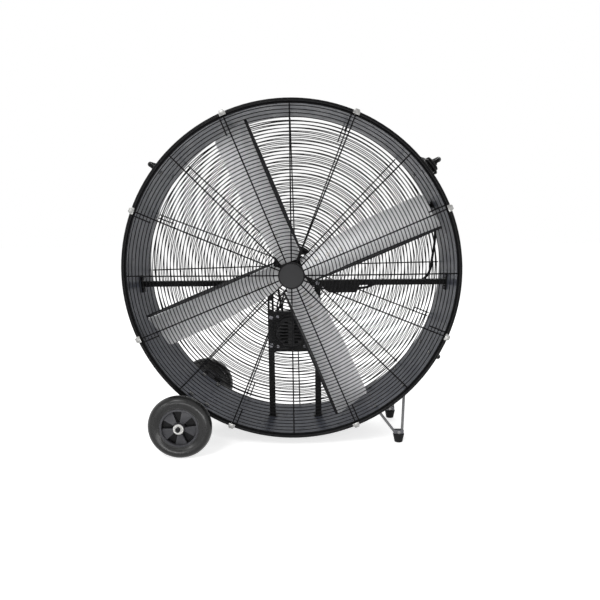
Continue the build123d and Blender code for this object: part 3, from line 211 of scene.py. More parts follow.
def painted(obj, material):
    obj.data.materials.clear()
    obj.data.materials.append(material)


def installed(obj, body, slot, material, *stands_for):
    """Finish a piece: its paint, the body it rides on and the nodes that it replaces. The slot is
    not used.
    """
    painted(obj, material)
    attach(obj, body)
    if stands_for:
        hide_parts(*stands_for)


along_y = (radians(90), 0, 0)
unturned = (0, 0, 0)


def cylinder(radius, depth, place, turn, sides):
    bpy.ops.mesh.primitive_cylinder_add(vertices=sides, radius=radius, depth=depth,
                                        location=place, rotation=turn)
    return bpy.context.object


def block(size, place, turn=unturned):
    bpy.ops.mesh.primitive_cube_add(size=1, location=place, rotation=turn)
    obj = bpy.context.object
    obj.scale = size
    return settle(obj)


def drawn(name, points, edges, faces):
    """A mesh from its corners, edges and faces."""
    mesh = bpy.data.meshes.new(name)
    mesh.from_pydata(points, edges, faces)
    return linked(bpy.data.objects.new(name, mesh))


def lathe(profile, steps, name):
    """Spin a closed (radius, depth) outline about the Y axis through the origin."""
    points = [(radius, depth, 0) for radius, depth in profile]
    edges = [(i, (i + 1) % len(points)) for i in range(len(points))]
    obj = drawn(name, points, edges, [])
    pick(obj)
    bpy.ops.object.mode_set(mode="EDIT")
    bpy.ops.mesh.select_all(action="SELECT")
    bpy.ops.mesh.spin(steps=steps, angle=2 * pi, center=(0, 0, 0), axis=(0, 1, 0))
    bpy.ops.object.mode_set(mode="OBJECT")
    return outward(obj)


def wall_frame(angle):
    """x clockwise along the wall, y along the drum, z outwards from the drum's axis."""
    a = radians(angle)
    basis = Matrix(((sin(a), 0, cos(a)), (0, 1, 0), (-cos(a), 0, sin(a)))).to_4x4()
    return Matrix.Translation((0, 0, axis_height)) @ basis


# ------------------------------------------------------------------ finishes

class Finish:
    """A material on the Principled shader, with small tools to wire patterns to it."""

    def __init__(self, name, roughness, metallic=0.0, specular=0.5):
        self.material = bpy.data.materials.new(name)
        self.material.use_nodes = True
        self.tree = self.material.node_tree
        self.shader = self.tree.nodes["Principled BSDF"]
        self.shader.inputs["Roughness"].default_value = roughness
        self.shader.inputs["Metallic"].default_value = metallic
        self.shader.inputs["Specular IOR Level"].default_value = specular
        self.place = self.add("ShaderNodeTexCoord").outputs["Object"]

    def add(self, kind, **values):
        node = self.tree.nodes.new(kind)
        for key, value in values.items():
            if hasattr(node, key):
                setattr(node, key, value)
            else:
                node.inputs[key.replace("_", " ").title()].default_value = value
        return node

    def link(self, source, target):
        self.tree.links.new(source, target)

    def stretched(self, scale, turn=unturned):
        mapping = self.add("ShaderNodeMapping")
        mapping.inputs["Scale"].default_value = scale
        mapping.inputs["Rotation"].default_value = turn
        self.link(self.place, mapping.inputs["Vector"])
        return mapping.outputs["Vector"]

    def noise(self, scale, detail=4.0, vector=None):
        noise = self.add("ShaderNodeTexNoise", scale=scale, detail=detail, roughness=0.55)
        self.link(vector or self.place, noise.inputs["Vector"])
        return noise.outputs["Fac"]

    def ramp(self, source, *stops):
        ramp = self.add("ShaderNodeValToRGB")
        bar = ramp.color_ramp.elements
        for i, (position, colour) in enumerate(stops):
            stop = bar[i] if i < 2 else bar.new(position)
            stop.position = position
            stop.color = (*colour, 1)
        self.link(source, ramp.inputs["Fac"])
        return ramp.outputs["Color"]

    def mottled(self, pattern, colour, low, high, stops=(0.35, 0.65)):
        """The colour, between a darker and a lighter shade as the pattern says."""
        shades = [tuple(channel * share for channel in colour) for share in (low, high)]
        return self.ramp(pattern, *zip(stops, shades))

    def carried(self, source, start, end, low=0.0, high=1.0):
        """Carry values between start and end to the range from low to high."""
        node = self.add("ShaderNodeMapRange")
        node.inputs["From Min"].default_value = start
        node.inputs["From Max"].default_value = end
        node.inputs["To Min"].default_value = low
        node.inputs["To Max"].default_value = high
        self.link(source, node.inputs["Value"])
        return node.outputs["Result"]

    def mixed(self, mask, first, second):
        """The first colour where the mask is 0, the second where it is 1."""
        mix = self.add("ShaderNodeMix", data_type="RGBA")
        self.link(mask, mix.inputs[0])
        self.link(first, mix.inputs[6])
        self.link(second, mix.inputs[7])
        return mix.outputs[2]

    def beyond(self, start, end):
        """0 inside one distance from the drum's axis, 1 outside another."""
        mapping = self.add("ShaderNodeMapping")
        mapping.inputs["Scale"].default_value = (1, 0, 1)
        mapping.inputs["Location"].default_value = (0, 0, -axis_height)
        self.link(self.place, mapping.inputs["Vector"])
        length = self.add("ShaderNodeVectorMath", operation="LENGTH")
        self.link(mapping.outputs["Vector"], length.inputs[0])
        return self.carried(length.outputs["Value"], start, end)

    def raised(self, plane, start, end):
        """0 near the planes this far before and behind the drum's middle, 1 away from them."""
        parts = self.add("ShaderNodeSeparateXYZ")
        self.link(self.place, parts.inputs[0])
        value = parts.outputs["Y"]
        for operation, amount in (("ABSOLUTE", 0), ("SUBTRACT", plane), ("ABSOLUTE", 0)):
            step = self.add("ShaderNodeMath", operation=operation)
            step.inputs[1].default_value = amount
            self.link(value, step.inputs[0])
            value = step.outputs[0]
        return self.carried(value, start, end)

    def colour(self, source):
        self.link(source, self.shader.inputs["Base Color"])

    def gloss(self, pattern, low, high):
        """Roughness between low and high as the pattern says."""
        self.link(self.carried(pattern, 0.3, 0.7, low, high), self.shader.inputs["Roughness"])

    def bump(self, source, strength, height):
        bump = self.add("ShaderNodeBump")
        bump.inputs["Strength"].default_value = strength
        bump.inputs["Distance"].default_value = height
        self.link(source, bump.inputs["Height"])
        before = self.shader.inputs["Normal"].links
        if before:
            self.link(before[0].from_socket, bump.inputs["Normal"])
        self.link(bump.outputs["Normal"], self.shader.inputs["Normal"])


def barrel_enamel(name, wall, skin, bead, roughness):
    """Gloss enamel of the drum, darker outside; its inner wall lighter blue-grey as a painted
    reflection, its beads near black as painted shade.
    """
    f = Finish(name, roughness, specular=0.08)
    slow = f.noise(6.0, 3.0)
    wall_painted_reflection, skin_paint, bead_painted_shade = [f.mottled(slow, colour, 0.88, 1.14)
                                          for colour in (wall, skin, bead)]
    # The inner wall's lighter tone is a painted reflection; the beads' near black is painted shade.
    sheet = f.mixed(f.beyond(outside_from, outside_from + blend), wall_painted_reflection, skin_paint)
    bead_from = rim_y - bead_depth
    f.colour(f.mixed(f.raised(0, bead_from, bead_from + blend), sheet, bead_painted_shade))
    f.gloss(f.noise(20.0, 5.0), roughness - 0.05, roughness + 0.09)
    f.bump(f.noise(650.0, 2.0), 0.08, 0.0002)
    return f.material


def enamel(name, colour, roughness, orange_peel=0.12, specular=0.25):
    """Sprayed paint: orange peel and a slow change of tone and gloss."""
    f = Finish(name, roughness, specular=specular)
    f.colour(f.mottled(f.noise(7.0, 3.0), colour, 0.88, 1.14))
    f.gloss(f.noise(22.0, 5.0), roughness - 0.05, roughness + 0.07)
    f.bump(f.noise(650.0, 2.0), orange_peel, 0.0002)
    return f.material


def coated_wire(name, colour, roughness):
    """Thick powder coat on wire, with beads of coating along it."""
    f = Finish(name, roughness, specular=0.06)
    f.colour(f.mottled(f.noise(90.0, 3.0), colour, 0.8, 1.25))
    f.gloss(f.noise(60.0), roughness - 0.07, roughness + 0.08)
    f.bump(f.noise(900.0, 2.0), 0.15, 0.0002)
    return f.material


def zinc_plate(name, colour, roughness):
    """Zinc with faint crystals and a yellow cast in places."""
    f = Finish(name, roughness, metallic=0.85)
    cells = f.add("ShaderNodeTexVoronoi", scale=260.0)
    f.link(f.place, cells.inputs["Vector"])
    dark = tuple(channel * 0.86 for channel in colour)
    warm = tuple(channel * 1.08 * cast for channel, cast in zip(colour, (1.0, 0.99, 0.97)))
    f.colour(f.ramp(cells.outputs["Color"], (0.2, dark), (0.8, warm)))
    f.gloss(f.noise(180.0, 5.0), roughness - 0.08, roughness + 0.12)
    f.bump(f.noise(420.0, 4.0), 0.1, 0.0002)
    return f.material


def brushed_sheet(name, colour, roughness, turn):
    """Rolled sheet with fine lines along the blade, turned by the blade's angle."""
    f = Finish(name, roughness, metallic=0.35)
    fine = f.stretched((900.0, 900.0, 14.0), (0, turn, 0))
    broad = f.stretched((60.0, 60.0, 5.0), (0, turn, 0))
    f.colour(f.mottled(f.noise(1.0, 3.0, broad), colour, 0.93, 1.05))
    lines = f.noise(1.0, 3.0, fine)
    f.gloss(lines, roughness - 0.07, roughness + 0.09)
    f.bump(lines, 0.06, 0.0001)
    return f.material


def turned_steel(name, colour, roughness):
    """Machined rod with fine rings across its length."""
    f = Finish(name, roughness, metallic=0.9)
    rings = f.noise(1.0, 3.0, f.stretched((6.0, 1500.0, 6.0)))
    f.colour(f.mottled(f.noise(30.0, 4.0), colour, 0.85, 1.1, (0.3, 0.7)))
    f.gloss(rings, roughness - 0.06, roughness + 0.1)
    f.bump(rings, 0.08, 0.0001)
    return f.material


def casting(name, colour, roughness):
    """Painted sand casting with a pebbled skin."""
    f = Finish(name, roughness, specular=0.15)
    f.colour(f.mottled(f.noise(45.0, 4.0), colour, 0.75, 1.3))
    f.gloss(f.noise(120.0), roughness - 0.08, roughness + 0.1)
    f.bump(f.noise(380.0, 5.0), 0.35, 0.0005)
    return f.material


def moulded(name, colour, roughness, specular=0.3):
    """Moulded plastic with a fine spark-eroded grain."""
    f = Finish(name, roughness, specular=specular)
    f.colour(f.mottled(f.noise(35.0, 3.0), colour, 0.9, 1.12))
    f.gloss(f.noise(400.0), roughness - 0.05, roughness + 0.06)
    f.bump(f.noise(1600.0, 2.0), 0.12, 0.0002)
    return f.material


def recessed(name, vane, pocket_shade, roughness):
    """Moulded plastic of a wheel hub, with painted shade in the pockets between its vanes."""
    f = Finish(name, roughness, specular=0.12)
    grain = f.noise(35.0, 3.0)
    vane_tone = f.mottled(grain, vane, 0.9, 1.1)
    painted_pocket_shade = f.mottled(grain, pocket_shade, 0.8, 1.2)
    f.colour(f.mixed(f.raised(wheel_y, pocket_shade_top, vane_face), painted_pocket_shade, vane_tone))
    f.gloss(f.noise(400.0), roughness - 0.05, roughness + 0.06)
    f.bump(f.noise(1600.0, 2.0), 0.12, 0.0002)
    return f.material


def louvred(name, face, slot, roughness):
    """Sprayed paint of the motor's front bell, with painted shade, near black, inside its louvres.
    """
    f = Finish(name, roughness, specular=0.09)
    slow = f.noise(7.0, 3.0)
    face_paint = f.mottled(slow, face, 0.88, 1.14)
    painted_slot_shade = f.mottled(slow, slot, 0.88, 1.14)
    f.colour(f.mixed(f.raised(bell_face, slot_shade_from, slot_shade_full), face_paint, painted_slot_shade))
    f.gloss(f.noise(22.0, 5.0), roughness - 0.05, roughness + 0.07)
    f.bump(f.noise(650.0, 2.0), 0.2, 0.0002)
    return f.material


def rubber(name, colour, roughness, dust, grain=0.2, specular=0.12):
    """Moulded rubber, a little paler where it is dusty."""
    f = Finish(name, roughness, specular=specular)
    dusty = tuple(channel + dust for channel in colour)
    f.colour(f.ramp(f.noise(16.0, 6.0), (0.3, colour), (0.75, dusty)))
    f.gloss(f.noise(30.0, 5.0), roughness - 0.06, roughness + 0.09)
    f.bump(f.noise(1100.0, 3.0), grain, 0.0003)
    return f.material


def woven_belt(name, colour):
    """Rubberised fabric cover of a wedge belt."""
    f = Finish(name, 0.75, specular=0.3)
    weave = f.add("ShaderNodeTexWave", scale=700.0, distortion=1.5)
    f.link(f.place, weave.inputs["Vector"])
    f.colour(f.mottled(weave.outputs["Fac"], colour, 0.8, 1.5, (0.2, 0.8)))
    f.gloss(f.noise(60.0), 0.66, 0.85)
    f.bump(weave.outputs["Fac"], 0.3, 0.0003)
    return f.material


# Inner wall lighter blue-grey as a painted reflection, outer skin the enamel's own tone, beads near
# black as painted shade.
drum_enamel_painted_light = barrel_enamel("drum_enamel_painted_light", (0.078, 0.084, 0.104), (0.020, 0.021, 0.025),
                            (0.0040, 0.0040, 0.0044), 0.30)
wire_coat = coated_wire("wire_coat", (0.0045, 0.0045, 0.005), 0.42)
frame_enamel = enamel("frame_enamel", (0.0038, 0.0038, 0.0041), 0.38, specular=0.07)
# Near black: painted shade along each blade's clockwise edge.
edge_painted_shade = enamel("edge_painted_shade", (0.0075, 0.0075, 0.009), 0.26, 0.08, specular=0.22)
motor_enamel = enamel("motor_enamel", (0.0050, 0.0050, 0.0054), 0.38, 0.2, specular=0.11)
# The second colour is painted shade inside the louvres.
bell_enamel = louvred("bell_enamel", (0.0110, 0.0110, 0.0116), (0.0010, 0.0010, 0.0010), 0.38)
leg_enamel = enamel("leg_enamel", (0.120, 0.120, 0.124), 0.26, 0.06, specular=0.4)
zinc = zinc_plate("zinc", (0.40, 0.40, 0.39), 0.36)
clip_zinc = zinc_plate("clip_zinc", (0.29, 0.29, 0.285), 0.38)
bolt_zinc = zinc_plate("bolt_zinc", (0.24, 0.24, 0.24), 0.34)
dull_zinc = zinc_plate("dull_zinc", (0.10, 0.10, 0.11), 0.38)
shaft_steel = turned_steel("shaft_steel", (0.52, 0.52, 0.53), 0.30)
axle_steel = turned_steel("axle_steel", (0.012, 0.012, 0.013), 0.28)
cast_black = casting("cast_black", (0.009, 0.009, 0.010), 0.5)
cap_plastic = moulded("cap_plastic", (0.0040, 0.0040, 0.0045), 0.40, 0.08)
plate_grey = enamel("plate_grey", (0.0165, 0.0165, 0.0175), 0.40, 0.06, specular=0.15)
box_plastic = moulded("box_plastic", (0.0042, 0.0042, 0.0045), 0.45, 0.08)
knob_plastic = moulded("knob_plastic", (0.012, 0.012, 0.013), 0.30)
# The second colour is painted shade in the pockets between the vanes.
hub_plastic = recessed("hub_plastic", (0.048, 0.048, 0.052), (0.003, 0.003, 0.0035), 0.33)
tyre_rubber = rubber("tyre_rubber", (0.008, 0.008, 0.008), 0.27, 0.003, 0.05, 0.32)
foot_rubber = rubber("foot_rubber", (0.007, 0.007, 0.0075), 0.55, 0.003)
grip_rubber = rubber("grip_rubber", (0.006, 0.006, 0.0065), 0.62, 0.003, 0.3)
cord_jacket = rubber("cord_jacket", (0.006, 0.006, 0.0065), 0.40, 0.002, 0.12)
belt_cover = woven_belt("belt_cover", (0.010, 0.010, 0.011))
blade_sheets = [brushed_sheet("blade_sheet_" + str(k + 1), (0.512, 0.514, 0.522), 0.36,
                              radians(turn - 90)) for k, turn in enumerate(blade_turns)]

node_finish = {
    "drum_shell": drum_enamel_painted_light, "front_guard_spokes": wire_coat, "rear_guard_spokes": wire_coat,
    "front_cap": cap_plastic, "rear_cap": cap_plastic, "badge_plate": plate_grey,
    "small_screws": bolt_zinc, "hub_spider": frame_enamel, "blade_1": blade_sheets[0],
    "blade_2": blade_sheets[1], "blade_3": blade_sheets[2], "blade_4": blade_sheets[3],
    "blade_bolts": zinc, "fan_shaft": shaft_steel, "fan_pulley": cast_black,
    "motor_pulley": cast_black, "drive_belt": belt_cover, "cross_beam": frame_enamel,
    "bearing_saddle": frame_enamel, "front_bearing": cast_black, "rear_bearing": cast_black,
    "left_upright": frame_enamel, "right_upright": frame_enamel, "motor_plate": frame_enamel,
    "frame_bolts": dull_zinc, "motor_rear_bell": motor_enamel, "motor_shaft": shaft_steel,
    "wire_box": box_plastic, "cable_clips": cap_plastic, "cable_gland": box_plastic,
    "inner_cable": cord_jacket, "motor_leads": cord_jacket, "switch_box": box_plastic,
    "switch_lid": box_plastic, "switch_knob": knob_plastic, "left_handle": frame_enamel,
    "right_handle": frame_enamel, "lower_handle": frame_enamel, "wall_bolts": bolt_zinc,
    "strain_relief": cord_jacket, "wheel_axle": axle_steel, "axle_brackets": frame_enamel,
    "axle_washers": zinc, "leg_rods": leg_enamel, "leg_brackets": dull_zinc,
    "rubber_feet": foot_rubber,
}
for node, finish in node_finish.items():
    painted(nodes[node], finish)


# ------------------------------------------------------------------ studio and camera

def camera():
    """Eye level a little above the drum's axis, looking slightly down."""
    data = bpy.data.cameras.new("camera")
    data.lens = 37.0
    data.sensor_width = 36.0
    data.shift_x = -0.02595
    data.shift_y = 0.01275
    data.clip_end = 60
    obj = linked(bpy.data.objects.new("camera", data))
    obj.location = (0.0795, -2.1807, 0.7957)
    obj.rotation_euler = (radians(81.079), radians(0.493), radians(-0.006))
    bpy.context.scene.camera = obj


def area_lamp(name, place, target, size, watts):
    data = bpy.data.lights.new(name, "AREA")
    data.shape = "RECTANGLE"
    data.size, data.size_y = size
    data.energy = watts
    obj = linked(bpy.data.objects.new(name, data))
    obj.location = place
    obj.rotation_euler = (Vector(target) - Vector(place)).to_track_quat("-Z", "Y").to_euler()


def white_to_camera(tree, amount):
    """The amount for rays from the camera, off mirrors and through glass, 0 for all others."""
    path = tree.nodes.new("ShaderNodeLightPath")
    total = path.outputs["Is Camera Ray"]
    for ray in ("Is Glossy Ray", "Is Transmission Ray"):
        add = tree.nodes.new("ShaderNodeMath")
        add.operation = "ADD"
        add.use_clamp = True
        tree.links.new(total, add.inputs[0])
        tree.links.new(path.outputs[ray], add.inputs[1])
        total = add.outputs[0]
    scaled = tree.nodes.new("ShaderNodeMath")
    scaled.operation = "MULTIPLY"
    scaled.inputs[1].default_value = amount
    tree.links.new(total, scaled.inputs[0])
    return scaled.outputs[0]


def floor():
    bpy.ops.mesh.primitive_plane_add(size=24, location=(0, 0, -0.0004))
    obj = bpy.context.object
    obj.name = "floor"
    material = bpy.data.materials.new("floor_white")
    material.use_nodes = True
    tree = material.node_tree
    shader = tree.nodes["Principled BSDF"]
    shader.inputs["Base Color"].default_value = (0.82, 0.82, 0.82, 1)
    shader.inputs["Roughness"].default_value = 0.9
    shader.inputs["Specular IOR Level"].default_value = 0.0
    shader.inputs["Emission Color"].default_value = (1, 1, 1, 1)
    tree.links.new(white_to_camera(tree, 0.7), shader.inputs["Emission Strength"])
    painted(obj, material)


def world():
    sky = bpy.data.worlds.new("studio")
    bpy.context.scene.world = sky
    sky.use_nodes = True
    tree = sky.node_tree
    background = tree.nodes["Background"]
    background.inputs["Color"].default_value = (1, 1, 1, 1)
    mix = tree.nodes.new("ShaderNodeMapRange")
    mix.inputs["To Min"].default_value = 0.42
    mix.inputs["To Max"].default_value = 1.0
    tree.links.new(white_to_camera(tree, 1.0), mix.inputs["Value"])
    tree.links.new(mix.outputs["Result"], background.inputs["Strength"])


def studio():
    camera()
    world()
    floor()
    area_lamp("key", (-1.2, -2.6, 2.8), (0, 0, 0.5), (1.1, 1.1), 45)
    area_lamp("side", (-2.1, -2.55, 1.05), (-0.2, 0, 0.3), (0.45, 0.6), 12)
    area_lamp("fill", (2.4, -2.4, 1.2), (0, 0, 0.5), (1.4, 2.0), 7)
    area_lamp("low", (0.0, -1.6, 0.06), (0, 0, 1.1), (1.6, 0.3), 17)
    area_lamp("back", (0.6, 2.8, 2.6), (0, 0, 0.6), (2.6, 1.6), 40)
    bpy.context.scene.view_settings.view_transform = "Standard"


# ------------------------------------------------------------------ power cord

def winding_points():
    """Turns round both legs of the handle, and the cord's place after them.

    Each half turn is a run beside the handle and a half circle round a leg. Its control points
    stand an eighth of a circle apart, and a little outside it.
    """
    half_step = pi / 8
    inward = [first_turn + cord_pitch / 2 * k for k in range(2 * winding_turns, -1, -1)]
    outward_again = inward[::-1]
    layers = [inward, outward_again, inward, outward_again[:4]]
    points = []
    side = 1
    here_y = winding_start_y
    here_z = winding_base
    for layer, offsets in enumerate(layers):
        z = winding_base + cord_pitch * layer
        for now, after in zip(offsets, offsets[1:]):
            heading = -side
            radius = (now + after) / 2
            run_end = heading * (handle_half - radius * tan(half_step))
            for part in (0.04, 0.25, 0.5, 0.75, 1.0):
                y = here_y + (run_end - here_y) * part
                climbed = min(max((part - 0.1) / 0.8, 0), 1)    # of the way to the next layer
                points.append((side * now, y, here_z + (z - here_z) * climbed))
            centre = side * (now - after) / 2
            reach = radius / cos(half_step)
            for step in (1, 3, 5, 7):
                turn = step * half_step
                points.append((centre + side * reach * cos(turn),
                               heading * (handle_half + reach * sin(turn)), z))
            here_y = run_end
            here_z = z
            side = -side
    return points, (side * layers[-1][-1], here_y)


def cord_points():
    """The whole cord, from strain relief over winding to plug, in the handle's frame."""
    lead = [(0.0834, 0.075, 0.5548), (0.0524, 0.075, 0.5628), (0.0286, 0.043, 0.562)]
    turns, (x, turns_end) = winding_points()
    y, z = winding_end_y, winding_top
    run = [(x, turns_end, z), (x, (turns_end + y) / 2, z), (x, y, z)]
    tail = [(x, y + 0.030, z), (x - 0.014, y + 0.062, z - 0.003), (x - 0.027, y + 0.092, z - 0.015),
            (x - 0.034, y + 0.122, z - tail_in), (x - 0.034, y + 0.1501, z - tail_in)]
    return lead + turns + run + tail


def power_cord(plug_pieces):
    place = wall_frame(winding_angle)
    points = [place @ Vector(p) for p in cord_points()]
    data = bpy.data.curves.new("power_cord", "CURVE")
    data.dimensions = "3D"
    data.bevel_depth = cord_radius
    data.bevel_resolution = 4
    data.resolution_u = 5
    data.use_fill_caps = True
    spline = data.splines.new("NURBS")
    spline.points.add(len(points) - 1)
    for control, point in zip(spline.points, points):
        control.co = (*point, 1)
    spline.order_u = 3
    spline.use_endpoint_u = True
    obj = linked(bpy.data.objects.new("power_cord", data))
    obj.data.materials.append(cord_jacket)
    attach(obj, "drum_frame")
    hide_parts("cord_lead", "cord_winding", "cord_tail")


def plug():
    """Moulded plug with a ribbed neck and bright prongs."""
    rings = [cylinder(0.0062 + 0.0007 * k, 0.0022, (0, 0.0018 + 0.0032 * k, 0), along_y, 24)
             for k in range(5)]
    neck = cylinder(0.0052, 0.018, (0, 0.0091, 0), along_y, 24)
    collar = cylinder(0.0104, 0.002, (0, 0.0172, 0), along_y, 32)
    body = bevelled(block((0.0278, 0.040, 0.0238), (0, 0.0365, 0)), 0.0075, 5)
    ridges = [block((0.0012, 0.0016, 0.014), (s * 0.0134, 0.026 + 0.005 * k, 0))
              for s in (-1, 1) for k in range(4)]
    solid = joined([body, neck, collar] + rings + ridges, "plug_body")
    blades = [bevelled(block((0.0016, 0.018, 0.006), (s * 0.00635, 0.0655, 0)), 0.0004)
              for s in (-1, 1)]
    ground = bevelled(cylinder(0.0024, 0.016, (0, 0.0655, -0.007), along_y, 24), 0.0012, 3)
    pins = joined(blades + [ground], "plug_prongs")
    place = wall_frame(winding_angle) @ Matrix.Translation((plug_x, plug_y, plug_z))
    for piece in (solid, pins):
        piece.data.transform(place)
        smoothed(piece, 40)
    installed(solid, "drum_frame", "cord_jacket", cord_jacket, "plug")
    installed(pins, "drum_frame", "zinc", zinc)
    return [solid, pins]


# ------------------------------------------------------------------ guards

def wire_depth(radius):
    """Depth of a radial wire's axis on the front guard."""
    dome = (guard_reach ** 2 + guard_dome ** 2) / (2 * guard_dome)
    rise = dome - sqrt(dome ** 2 - radius ** 2)
    return -(rim_y + guard_proud - spoke_wire / 2 + guard_dome - rise)


def ring(radius, wire, facing, sides=8, off=(0, 0)):
    """A ring wire on the inner side of the radial wires."""
    depth = wire_depth(radius) + (spoke_wire + wire) / 2 + weld_gap
    bpy.ops.mesh.primitive_torus_add(major_radius=radius, minor_radius=wire / 2,
                                     major_segments=ring_steps, minor_segments=sides,
                                     location=(off[0], -facing * depth, axis_height + off[1]),
                                     rotation=along_y)
    return bpy.context.object


def guard_rings(name, facing):
    """Frame ring, ring wires and middle plate of the front (-1) or rear (1) guard."""
    front = facing < 0
    off = front_rings_off if front else (0, 0)
    radii = [first_ring - ring_pitch * k for k in range(ring_count)]
    frame_radius = guard_reach - weld_gap if front else radii.pop(0)
    rings = [ring(frame_radius, frame_wire, facing, sides=12)]
    rings += [ring(radius, ring_wire, facing, off=off) for radius in radii]
    depth = wire_depth(hub_plate_radius) + spoke_wire / 2 + hub_plate_sheet / 2 + 2 * weld_gap
    place = (0, -facing * depth, axis_height)
    plate = bevelled(cylinder(hub_plate_radius, hub_plate_sheet, place, along_y, 64), 0.0004)
    whole = joined(rings + [plate], name + "_rings")
    smoothed(whole, 60)
    installed(whole, "drum_frame", "guard_paint", wire_coat, name + "_rings")


def rim_clips():
    """Folded zinc clips over both beads: a six-sided face, an outer leg and its hooked end."""
    flat = [(0.5480, -0.0110), (0.5480, 0.0110), (0.5565, 0.0112), (0.5650, 0.0065),
            (0.5650, -0.0065), (0.5565, -0.0112)]
    corners = [(radius, 0, side) for radius, side in flat]
    face = drawn("clip_face", corners, [], [tuple(range(len(corners)))])
    pick(face)
    bpy.ops.object.mode_set(mode="EDIT")
    bpy.ops.mesh.select_all(action="SELECT")
    bpy.ops.mesh.extrude_region_move(TRANSFORM_OT_translate={"value": (0, -clip_sheet, 0)})
    bpy.ops.object.mode_set(mode="OBJECT")
    outward(face)
    leg = block((clip_sheet, clip_leg, clip_width), (0.56425, 0.0072 - clip_sheet, 0))
    hook = block((clip_hook, clip_sheet, clip_width), (0.5632, 0.0130, 0))
    clip = bevelled(joined([face, leg, hook], "clip"), 0.0005)
    clips = []
    for side, turn in ((-1, 0), (1, rear_guard_turn)):
        for angle in clip_angles:
            place = Matrix.Translation((0, 0, axis_height))
            if side > 0:
                place = place @ Matrix.Scale(-1, 4, (0, 1, 0))
            place = place @ Matrix.Rotation(-radians(angle + turn * side), 4, "Y")
            clips.append(copied(clip, place @ Matrix.Translation((0, clip_seat, 0))))
    bpy.data.objects.remove(clip)
    whole = outward(joined(clips, "rim_clips"))
    smoothed(whole, 40)
    installed(whole, "drum_frame", "zinc", clip_zinc, "guard_clips")


# ------------------------------------------------------------------ fan

def shaded_edge_beads():
    """The rolled clockwise edge of each blade, painted near black as the shade along that edge: a
    flattened bead, widest at the middle.
    """
    widths = [0.0028, 0.0042, 0.0056, 0.0066, 0.0072, 0.0074, 0.0074, 0.0072, 0.0068, 0.0063,
              0.0056, 0.0048]
    step = (edge_to - edge_from - 2 * edge_tip) / (len(widths) - 1)
    middle = [(width, edge_from + edge_tip + step * k) for k, width in enumerate(widths)]
    bead = lathe([(0.0, edge_from)] + middle + [(0.0, edge_to)], 20, "shaded_edge_bead")
    lean = Matrix.Rotation(radians(edge_lean), 4, "Z") @ Matrix.Scale(edge_flatness, 4, (0, 1, 0))
    seat = Matrix.Translation((edge_side, edge_y, 0)) @ lean @ Matrix.Rotation(radians(90), 4, "X")
    beads = []
    for turn in blade_turns:
        turned = Matrix.Rotation(-radians(turn - 90), 4, "Y")
        beads.append(copied(bead, Matrix.Translation((0, 0, axis_height)) @ turned @ seat))
    bpy.data.objects.remove(bead)
    whole = outward(joined(beads, "shaded_edge_beads"))
    smoothed(whole, 50)
    # Its near-black enamel is painted shade along each blade's edge.
    installed(whole, "fan_rotor", "frame_paint", edge_painted_shade)


# ------------------------------------------------------------------ wheels

def tyre(name, side):
    """Fat smooth tyre with a bead ring beside the hub and a faint parting line round the tread."""
    half = [(0.0641, 0.0150), (0.0641, 0.0172), (0.0652, 0.0180), (0.0670, 0.0180),
            (0.0682, 0.0173), (0.0700, 0.0182), (0.0730, 0.0198), (0.0770, 0.0215),
            (0.0815, 0.0227), (0.0860, 0.0231), (0.0900, 0.0225), (0.0940, 0.0208),
            (0.0975, 0.0181), (0.1003, 0.0146), (0.1025, 0.0104), (0.1040, 0.0060),
            (0.1048, 0.0018), (0.1050, 0.0006)]
    profile = half + [(r, -y) for r, y in reversed(half)]
    body = lathe(profile, 96, name)
    body.data.transform(Matrix.Translation((wheel_x, side * wheel_y, wheel_z)))
    smoothed(body, 40)
    return body


def wheel_hub(name, side):
    """Recessed moulded hub: rim ring, boss and tilted vanes between them."""
    rim = lathe([(0.0570, -0.0180), (0.0580, -0.0190), (0.0610, -0.0190), (0.0638, -0.0180),
                 (0.0638, 0.0180), (0.0610, 0.0190), (0.0580, 0.0190), (0.0570, 0.0180),
                 (0.0560, 0.0040), (0.0560, -0.0040)], 80, "rim")
    boss = lathe([(hub_bore, -0.0250), (0.0165, -0.0250), (0.0180, -0.0238), (0.0200, 0.0),
                  (0.0180, 0.0238), (0.0165, 0.0250), (hub_bore, 0.0250)], 56, "boss")
    web = lathe([(0.0180, -web_half), (0.0570, -web_half), (0.0570, web_half), (0.0180, web_half)],
                56, "web")
    pieces = [rim, boss, web]
    for face in (-1, 1):
        vane = wheel_vane(face)
        for k in range(wheel_vanes):
            turn = radians(first_vane + 360 / wheel_vanes * k)
            pieces.append(copied(vane, Matrix.Rotation(-turn, 4, "Y")))
        bpy.data.objects.remove(vane)
    hub = joined(pieces, name)
    outward(hub)
    hub.data.transform(Matrix.Translation((wheel_x, side * wheel_y, wheel_z)))
    smoothed(hub, 30)
    return hub


def wheel_vane(face):
    """Raised sector between boss and rim, lowest at its clockwise end."""
    steps = 6
    top = []
    for radius, height, order in ((vane_outer, vane_outer_rise, range(steps + 1)),
                                  (vane_inner, vane_inner_rise, range(steps, -1, -1))):
        for k in order:
            turn = radians(vane_spread) * k / steps
            rise = height + vane_climb * k / steps
            top.append((radius * cos(turn), face * rise, radius * sin(turn)))
    base = [(x, 0, z) for x, _, z in top]
    count = len(top)
    faces = [tuple(range(count, 2 * count))]
    faces += [(i, i + 1, count - 2 - i, count - 1 - i) for i in range(steps)]
    faces += [(i, (i + 1) % count, (i + 1) % count + count, i + count) for i in range(count)]
    return bevelled(outward(drawn("vane", top + base, [], faces)), 0.0006)


def wheels():
    for name, side in (("front", -1), ("rear", 1)):
        installed(tyre(name + "_tyre_body", side), name + "_wheel", "tyre_rubber", tyre_rubber,
                  name + "_tyre")
        installed(wheel_hub(name + "_hub_body", side), name + "_wheel", "hub_plastic", hub_plastic,
                  name + "_wheel_hub")


# ------------------------------------------------------------------ handles and motor

